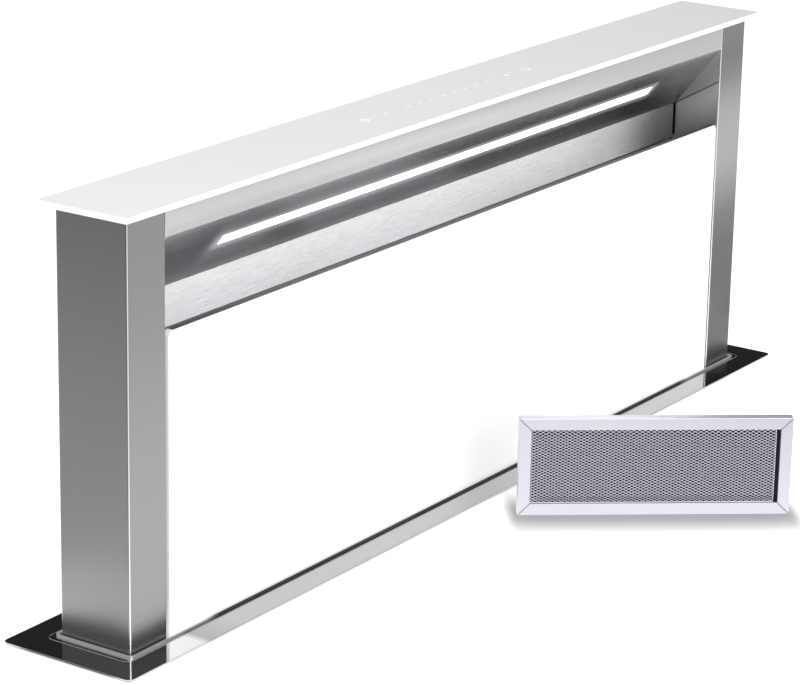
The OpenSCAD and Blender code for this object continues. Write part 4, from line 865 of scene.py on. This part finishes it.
for where, turn in FILTERS.items():
    low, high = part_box("filter_frame_" + where)
    foot = Vector(((low.x + high.x) / 2, (low.y + high.y) / 2, low.z))
    seat = Matrix.Translation(foot) @ Matrix.Rotation(turn, 4, "Z")
    body = where + "_filter"
    rails = rail_mesh("filter_rails_" + where)
    rails.transform(seat)
    made = piece("filter_rails_" + where, rails, body, [anodised],
                 ["filter_frame_" + where])
    soften(made, RAIL_EDGE, segments=RAIL_ROUNDS)
    pad = pad_mesh("filter_shade_pad_" + where)
    pad.transform(seat)
    piece("filter_shade_pad_" + where, pad, body, [shade_pad_dark], ["filter_mesh_" + where])
    for face, sign in (("front", -1), ("rear", 1)):
        net = net_mesh("filter_net_" + face + "_" + where, sign)
        net.transform(seat)
        made = piece("filter_net_" + face + "_" + where, net, body, [mesh_metal])
        apply_modifier(made, "WIREFRAME", thickness=STRAND, use_replace=True, use_even_offset=True,
                       use_boundary=True)

# The housing: galvanised sheet with its spangle, folded and screwed together. The blower's
# cover, the clamps, the brackets and the rails of the lift are of a brighter sheet.
SPANGLE = 9 * MM
ZINC_METAL = 0.9
ZINC_SMOOTH, ZINC_ROUGH = 0.34, 0.50


def galvanised_material(name, light, dark):
    """Galvanised sheet: flat crystals of zinc that differ in tone and in gloss."""
    material = new_material(name)
    tree = material.node_tree
    place = node(tree, "ShaderNodeTexCoord")
    cells = node(tree, "ShaderNodeTexVoronoi", Vector=place.outputs["Object"], Scale=1 / SPANGLE)
    tone = node(tree, "ShaderNodeSeparateColor", Color=cells.outputs["Color"])
    tint = node(tree, "ShaderNodeMix", {"data_type": "RGBA"}, i0=tone.outputs[0], i6=srgb(light),
                i7=srgb(dark))
    gloss = node(tree, "ShaderNodeMapRange", Value=tone.outputs[1], To_Min=ZINC_SMOOTH,
                 To_Max=ZINC_ROUGH)
    shader = node(tree, "ShaderNodeBsdfPrincipled", Base_Color=tint.outputs[2], Metallic=ZINC_METAL,
                  Roughness=gloss.outputs[0])
    node(tree, "ShaderNodeOutputMaterial", Surface=shader.outputs[0])
    return material


zinc = galvanised_material("galvanised_sheet", "#b9bec2", "#a6abb0")
dress(["housing_back", "housing_front", "housing_side_left", "housing_side_right", "housing_base",
       "blower_box", "motor_bracket"], zinc)
zinc_bright = galvanised_material("bright_galvanised_sheet", "#c6cbcf", "#b7bcc1")
dress(["blower_cover", "worktop_clamps", "cabinet_brackets", "rail_left", "rail_right"], zinc_bright)

# The blower, the duct collar and the flaps: black plastic, moulded with a fine texture, as are
# the touch module and the gland. The motors of the blower and of the lift are painted.
moulded = matt_material("moulded_black_plastic", "#1d1d1f", roughness=0.45, step=0.6 * MM)
dress(["scroll_housing", "inlet_ring", "outlet_collar", "touch_module", "cable_gland"], moulded)
wheel_grey = matt_material("wheel_plastic", "#2b2b2e", roughness=0.40, step=0.6 * MM)
dress(["impeller", "flap_front", "flap_rear"], wheel_grey)
motor_paint = matt_material("motor_paint", "#303238", roughness=0.50, step=1.2 * MM)
dress(["blower_motor", "gear_motor"], motor_paint)

# The lip seal in the slot, a hair clear of the column, and the foam tape pressed between the
# flange and the worktop: black rubber, matt and slightly uneven.
rubber = matt_material("seal_rubber", "#0e0e0f", roughness=0.75, step=0.8 * MM, strength=0.5)
dress(["slot_seal", "flange_tape"], rubber)

# The control box on the front of the housing: a tray and its slotted lid, both moulded of pale
# plastic with a fine texture.
pale = matt_material("pale_plastic", "#d9d9d4", roughness=0.45, step=0.7 * MM, strength=0.2)
dress(["control_box", "control_cover"], pale)

# The lift: milled legs, a turned cross shaft and the motor's gear, all of steel. The shoes and the
# bearings are of slippery plastic, and the pinions and the shaft's gear of nylon. The hooks and
# the pins of the front glass are of the same steels.
LEG_GRAIN, SHAFT_GRAIN = (1, 1, 0.05), (1, 0.05, 0.05)
TOOL_BUMP = 0.15
milled = steel_material("milled_steel", "#b4b5b8", roughness=0.32, spread=0.06, step=GRAIN_STEP,
                        along=LEG_GRAIN, bump=TOOL_BUMP)
dress(["leg_left", "leg_right", "glass_hooks"], milled)
turned = steel_material("turned_steel", "#c2c3c6", roughness=0.22, spread=0.05, step=GRAIN_STEP,
                        along=SHAFT_GRAIN, bump=TOOL_BUMP)
dress(["cross_shaft", "drive_gear", "glass_pins"], turned)
slippery = matt_material("slide_plastic", "#ecece6", roughness=0.35, step=0.9 * MM, strength=0.15)
dress(["guide_shoes", "bearing_left", "bearing_right"], slippery)
nylon = matt_material("gear_nylon", "#e2d9bd", roughness=0.38, step=0.9 * MM, strength=0.15)
dress(["pinion_left", "pinion_right", "shaft_gear"], nylon)
